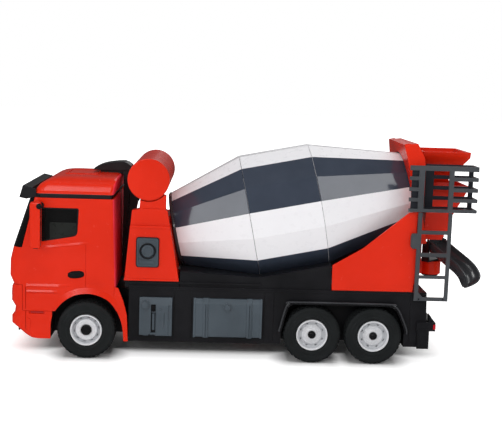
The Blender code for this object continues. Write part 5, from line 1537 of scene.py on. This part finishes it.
def stripe(x, y, z, normal):
    """Facets in pairs, white and dark by turns round the drum."""
    offset = Vector((x - DRUM_X, y, z - DRUM_Z))
    angle = math.degrees(math.atan2(-offset.y, offset.dot(DRUM_UP))) % 360.0
    return int(((angle + 180.0 / FACETS) % 360.0) // (720.0 / FACETS)) % 2


# the cab's rear face takes the red's painted-shade copy
paint("cab_shell", lambda x, y, z, n: 1 if n.x > 0.6 and x > -188 and z > 66 else 0)
paint("cab_roof", paint_roof)
# the rail's inner side takes the darker grey: painted shade
paint("platform_rail", lambda x, y, z, n: 1 if abs(y) < 50 else 0)
# the rims' recesses take the darker silver: grime and painted shade
for label, axle_x, wheel in WHEELS:
    def shade_recess(x, y, z, normal):
        in_recess = wheel["shade_r"] < math.hypot(x - axle_x, z - TYRE_R) < 12.95
        return 1 if in_recess and abs(y) < TRACK + 6.6 else 0
    for _, side_name in SIDES:
        paint(f"{label}_rim_{side_name}", shade_recess)
for key in DRUM_SECTIONS:
    final(key, ["drum_white", "drum_grey"], 0.25, angle=14.0)
    paint(key, stripe)


# ================================================================= trim on both sides of the cab
def door_trim(side, name):
    """Black scoop with a grip, window gasket, and a grey pane low in the window."""
    handle = side_prism(side, handle_loop(-0.12), CAB_Y - 1.5, CAB_Y - 0.7)
    add(handle, side_prism(side, [(x, z + 0.5) for x, z in handle_loop(-1.9)],
                           CAB_Y - 1.0, CAB_Y + 0.2))
    trim(handle, "door_handle_" + name, "black_gloss", "cab_shell")
    gasket = side_prism(side, [inset(WINDOW, 0.25), inset(WINDOW, 1.25)],
                        CAB_Y - 0.9, CAB_Y - 0.15)
    trim(gasket, "window_gasket_" + name, "black", "cab_shell", 0.15)
    trim(side_plate(side, -242.4, -218.4, 109.6, 126.2, 0.8, CAB_Y - 0.9, CAB_Y - 0.42),
         "window_pane_" + name, "glass_grey", "cab_glazing", 0.1)


def mirror_trim(side, name):
    like = "mirror_" + name
    trim(side_box(side, -249.35, -248.75, 64.8, 70.7, 106.2, 143.8), "mirror_glass_" + name,
         "steel", like, 0.2)
    arm = cylinder(3.0, (-250.4, side * 58.3, 141.8), (-250.4, side * 61.6, 141.8), 96)
    add(arm, cylinder(1.9, (-250.4, side * 60.4, 141.8), (-252.3, side * 64.6, 141.8), 96),
        side_cylinder(side, 3.6, -250.4, 141.8, 61.2, 62.4))
    trim(arm, "mirror_arm_" + name, "black", like, 0.35)
    knob = side_cylinder(side, 2.6, -249.4, 142.3, 70.6, 72.5)
    add(knob, side_cylinder(side, 1.3, -249.4, 142.3, 72.0, 73.0))
    trim(knob, "mirror_knob_" + name, "black_gloss", like, 0.3)
    trim(side_box(side, -254.8, -250.6, 65.6, 70.4, 103.6, 104.6), "mirror_plug_" + name,
         "black", like, 0.2)


def bumper_trim(side, name):
    """Head lamp rings, fog lamps, a dark red liner in the corner slot as painted shade, and the
    step.
    """
    like = "front_bumper"
    r = 3.2
    for y in (34.6, 41.2):
        trim(swept([(r, 0), (r, 1.1), (r + 0.55, 1.1), (r + 0.7, 0.9), (r + 0.7, 0)], 48,
                   (-278.3, side * y, 58.0), (-1, 0, 0)),
             f"headlamp_ring_{name}_{int(y)}", "silver", like, 0.1)
    for y, label in ((34, "fog_lamp_"), (42, "fog_lamp_outer_")):
        trim(cylinder(2.3, (-276.2, side * y, 46.9), (-274.4, side * y, 46.9)),
             label + name, "lamp_clear", like, 0.3)
    # darker red liner in the corner slot: painted shade in the recess
    trim(side_plate(side, -259.5, -248, 41.5, 42.9, 0.4, CAB_Y - 1.25, CAB_Y - 0.6),
         "corner_slot_shade_" + name, "red_slot_shade", like, 0.1)
    trim(side_box(side, -272.3, -270.8, 31, 49, 23.0, 26.4), "bumper_step_" + name,
         "black", like, 0.2)


for name, fold, width in folds:
    trim(fold, name, "red", "cab_shell", width)
for side, side_name in SIDES:
    door_trim(side, side_name)
    mirror_trim(side, side_name)
    bumper_trim(side, side_name)

# ================================================================= trim on the cab's front
slats = [box(-279.1, -277.5, -35.4, 35.4, BAR_Z + 0.5 + i * BAR_PITCH,
             BAR_Z + 1.9 + i * BAR_PITCH) for i in range(BAR_COUNT)]
trim(group(slats), "grille_slats", "black", "cab_shell", 0.2)
trim(box(-277.9, -276.9, -25.4, 25.4, 54.6, 62.8), "number_plate_blank", "drum_white",
     "front_bumper", 0.15)


def wiper(y0, y1, name):
    """Arm, blade and pivot on the windscreen, reaching from y0 to y1."""
    def screen_x(z):
        return -276.6 + (z - 102.6) / (146.0 - 102.6) * 14.4
    foot_x = screen_x(104.5) - 0.9
    arm = rod([(foot_x, y0, 104.5), (screen_x(113.0) - 0.9, (y0 + y1) / 2, 113.0)], 0.6)
    blade = rod([(screen_x(108.5) - 0.6, y0 + 4, 108.0), (screen_x(121.0) - 0.6, y1, 121.0)],
                0.45)
    add(arm, blade, cylinder(1.3, (foot_x + 1.6, y0, 104.0), (foot_x - 0.2, y0, 104.4), 80))
    trim(arm, name, "black", "cab_glazing", 0.0)


wiper(-30, -4, "wiper_left")
wiper(10, 36, "wiper_right")


# ================================================================= trim at the rear
def chute_rolled_edge():
    """Bead along both edges and round the spoon."""
    left, right = [], []
    for point, normal, radius in CHUTE_STATIONS:
        drop = CHUTE_R - radius
        out, z = point.x - normal.x * drop, point.y - normal.y * drop
        left.append(chute_point(out, -(radius - 0.9), z))
        right.append(chute_point(out, radius - 0.9, z))
    return rod(left + list(reversed(right)), 1.05, resolution=6)


def chute_upper_guard():
    """Plate that closes the upper end of the trough."""
    start, normal, _ = CHUTE_STATIONS[0]
    tangent = Vector((normal.y, -normal.x))
    r = 11.65
    loop = [(r * math.cos(math.pi * j / 24), -r * math.sin(math.pi * j / 24)) for j in range(25)]
    loop += [(-11.3, 2.2), (11.3, 2.2)]
    sections = []
    for offset in (1.0, 2.3):
        q = start + tangent * offset
        sections.append([chute_point(q.x + normal.x * rise, aside, q.y + normal.y * rise)
                         for aside, rise in loop])
    return loft(sections)


trim(chute_rolled_edge(), "chute_rolled_edge", "chute", "discharge_chute", 0.0)
trim(chute_upper_guard(), "chute_upper_guard", "chute", "discharge_chute", 0.2)
trim(side_prism(-1, [(107.4, 112.2), (127.2, 112.2), (129.2, 121.0), (106.4, 121.0)],
                12.55, 13.9), "collector_skirt", "red", "discharge_collector", 0.2)
# cap under the bearing ring
trim(turned([(0, 74.9), (7.6, 74.9), (8.2, 75.6), (8.2, 76.9), (0, 76.9)], (CHUTE_X, 0, 0),
            (0, 0, 1), segments=72, closed=False),
     "swivel_end_cap", "black", "discharge_collector", 0.3)
trim(level_plate([round_rect(100.5, 146.5, -29.5, 29.5, 1.6),
                  round_rect(102.4, 144.8, -27.7, 27.7, 1.0)], 1.6, 198.0 - 0.4),
     "hopper_lip", "red", "filling_hopper", 0.3)
trim(group([side_cylinder(-1, 0.9, x, 63.8, 60.8, 61.5, 6) for x in (97.2, 120.0)]),
     "ladder_screws", "black", "access_ladder", 0.1)
# panel closing the platform's side between the short bars, in the darker grey as painted shade
trim(side_plate(-1, 85.6, 92.4, 147.2, 184.0, 0.6, 57.75, 58.45), "rail_side_shade_panel",
     "ladder_shade", "platform_rail", 0.1)

# ================================================================= painted shadow strips under the roof, visor ends, linings and beads
VISOR_END = [(-269.7, 148.3), (-267.0, 158.4), (-258.9, 156.9), (-255.2, 156.0),
             (-254.6, 148.6), (-262.6, 147.0)]
ROOF_GAP_SHADOW = [(-251, 148.5), (-187.4, 148.5), (-187.4, 150.6), (-251, 150.6)]
REAR_LINING = [(-176.2, 33), (-172.6, 16.9), (-171.4, 16.9), (-174.9, 33)]
# name, inset of the line, radius, |y|, material of the beads round the rear mudguards; the outer
# bead's lighter grey is a painted highlight on the black mudguard
BEADS = (("outer", 0.9 - 0.9, 0.85, 60.1, "chute"), ("inner", 2.6 - 0.9, 0.55, 60.3, "black_gloss"))
for side, side_name in SIDES:
    trim(side_prism(side, VISOR_END, 53.5, 55.25), "visor_end_" + side_name, "black", "sun_visor")
    # black strips in the gap between the shell and the roof: painted shadow
    trim(side_prism(side, ROOF_GAP_SHADOW, 55.6, 57.45), "roof_gap_shadow_" + side_name, "black",
         "cab_roof", 0.1)
    trim(side_box(side, -243.4, -242.0, 27.5, 55, 17.4, 31.0), "arch_lining_front_" + side_name,
         "black", "cab_shell", 0.2)
    trim(side_prism(side, REAR_LINING, 27.5, 55.2), "arch_lining_rear_" + side_name,
         "black", "cab_shell", 0.2)
    for name, depth, radius, y, material in BEADS:
        line = smooth_path([p for p in inset(ARCH_OUT, depth) if p[1] > 22], 4)
        trim(rod([(x, side * y, z) for x, z in line], radius),
             f"mudguard_bead_{name}_{side_name}", material, "chassis_body", 0.0)

# ================================================================= trim on the left flank
# black frame just round the control panel: a painted shadow outline
trim(side_prism(-1, [round_rect(-164.1, -143.0, 86.8, 114.7, 2.4),
                     round_rect(-162.5, -144.6, 88.4, 113.1, 1.5)], 58.15, 57.2),
     "panel_shadow_outline", "black", "pedestal", 0.15)
trim(turned([(6.3, 0), (7.5, 0), (7.5, 0.45), (7.2, 0.6), (6.6, 0.6), (6.3, 0.45)],
            (BUTTON_X, -58.6, BUTTON_Z), (0, -1, 0), segments=72),
     "button_ring", "black", "pedestal", 0.0)
# black plate on the floor of the battery box's lever slot: painted shade in the recess
trim(box(-149.2, -145.1, -58.5, -57.6, 26.2, 52.3), "battery_box_slot_shade", "black",
     "battery_box_left", 0.1)
trim(side_plate(-1, -148.7, -145.7, 46.0, 51.6, 0.5, 58.2, 60.3), "battery_box_latch",
     "black_gloss", "battery_box_left", 0.2)


# ================================================================= stage (metres from here on)
def painted_shadow_mask(g, position):
    """Painted shadow: soft patches under the truck and its wheels where the floor gives no light of
    its own.
    """
    xyz = g.node("SeparateXYZ", {0: position})
    x, y = xyz.outputs["X"], xyz.outputs["Y"]
    # centre x; |x| distance where the patch starts and ends fading; y where it starts and is full
    patches = [(-0.020, 0.170, 0.215, -0.037, -0.021)]
    patches += [((axle + DX) * MM, 0.020, 0.040, -0.078, -0.056)
                for axle in (AXLE_F, AXLE_1, AXLE_2)]
    total = None
    for centre, full, gone, y_gone, y_full in patches:
        distance = g.math("ABSOLUTE", g.math("SUBTRACT", x, centre))
        mask = g.math("MULTIPLY", g.remap(distance, source=(full, gone), to=(1.0, 0.0)),
                      g.remap(y, source=(y_gone, y_full), to=(0.0, 1.0)))
        mask = g.math("MULTIPLY", mask, g.remap(y, source=(0.045, 0.085), to=(1.0, 0.0)))
        total = mask if total is None else g.math("MAXIMUM", total, mask)
    return total


def floor_glow(g):
    """Glow seen by the camera, brighter far from the truck and switched off under it as a painted
    shadow; even otherwise.
    """
    position = g.node("NewGeometry").outputs["Position"]
    distance = g.node("VectorMath", {0: position}, operation="LENGTH").outputs["Value"]
    seen = g.remap(distance, source=(0.20, 0.80), to=(0.62, 1.1))
    seen = g.math("MULTIPLY", seen, g.math("SUBTRACT", 1.0, painted_shadow_mask(g, position)))
    return g.mix_value(g.light_path("Is Camera Ray"), 0.32, seen)


def floor_material():
    material = bpy.data.materials.new("floor_white")
    material.use_nodes = True
    g = Graph(material.node_tree)
    shader = g.tree.nodes["Principled BSDF"]
    g.feed(shader, {"Base Color": (0.90, 0.90, 0.90, 1), "Roughness": 0.7,
                    "Specular IOR Level": 0.2, "Emission Color": (1, 1, 1, 1),
                    "Emission Strength": floor_glow(g)})
    # the floor shows darker in reflections
    dark = g.node("BsdfDiffuse", {"Color": (0.10, 0.10, 0.10, 1)})
    mixed = g.node("MixShader", {0: g.light_path("Is Glossy Ray"), 1: shader.outputs[0],
                                 2: dark.outputs[0]})
    g.feed(g.tree.nodes["Material Output"], {"Surface": mixed.outputs[0]})
    return material


def floor():
    material = floor_material()
    bm = bmesh.new()
    bmesh.ops.create_grid(bm, x_segments=1, y_segments=1, size=6.0)
    ob = link_bmesh("floor", bm)
    ob.location = (0, 0, -0.0002)
    ob.data.materials.append(material)


def studio_world():
    """White to the camera, dimmer for the light it gives, nearly dark in reflections."""
    world = bpy.data.worlds.new("studio")
    bpy.context.scene.world = world
    world.use_nodes = True
    g = Graph(world.node_tree)
    path = g.node("LightPath")
    direction = g.node("SeparateXYZ", {0: g.node("TexCoord").outputs["Generated"]})
    soft = g.remap(direction.outputs["Z"], source=(-0.1, 1.0), to=(0.40, 0.54))
    strength = g.mix_value(path.outputs["Is Camera Ray"], soft, 1.0)
    strength = g.mix_value(path.outputs["Is Glossy Ray"], strength, 0.10)
    g.feed(g.tree.nodes["Background"], {"Color": (1.0, 1.0, 1.0, 1), "Strength": strength})


def area_light(name, place, target, size, power, size_y=None):
    light = bpy.data.lights.new(name, "AREA")
    light.energy = power
    light.size = size
    if size_y:
        light.shape = "RECTANGLE"
        light.size_y = size_y
    ob = bpy.data.objects.new(name, light)
    ob.location = place
    ob.rotation_mode = "QUATERNION"
    ob.rotation_quaternion = (Vector(target) - Vector(place)).to_track_quat("-Z", "Y")
    bpy.context.scene.collection.objects.link(ob)
    return ob


def photo_camera():
    data = bpy.data.cameras.new("photo_camera")
    data.lens = 69.3
    data.sensor_width = 36.0
    data.clip_start = 0.01
    data.clip_end = 30.0
    camera = link("photo_camera", data)
    down, yaw, roll = math.radians(8.062), math.radians(2.29), math.radians(1.865)
    ahead = Vector((math.sin(yaw) * math.cos(down), math.cos(yaw) * math.cos(down),
                    -math.sin(down)))
    level = ahead.cross(Vector((0, 0, 1))).normalized()
    upward = level.cross(ahead)
    right = math.cos(roll) * level + math.sin(roll) * upward
    top = -math.sin(roll) * level + math.cos(roll) * upward
    matrix = Matrix((right, top, -ahead)).transposed().to_4x4()
    matrix.translation = Vector((-0.0373, -0.9293, 0.2613))
    camera.matrix_world = matrix
    bpy.context.scene.camera = camera


floor()
studio_world()
key_light = area_light("key_top", (-0.10, -0.45, 1.45), (0, 0, 0.08), size=0.9, power=4.7)
key_light.visible_glossy = False
area_light("strip_side", (-0.55, -1.50, 0.66), (-0.15, 0, 0.12), size=0.55, power=4.2, size_y=0.32)
area_light("box_left", (-1.25, -1.05, 0.72), (-0.05, 0, 0.13), size=0.75, power=3.9, size_y=0.5)
area_light("box_right", (0.90, -0.98, 1.08), (0.05, 0, 0.13), size=0.6, power=3.2, size_y=0.5)
area_light("rim_back", (0.3, 1.2, 0.9), (0, 0, 0.12), size=0.8, power=3.0)
photo_camera()

view = bpy.context.scene.view_settings
view.view_transform = "Standard"
view.look = "None"
view.exposure = 0.0
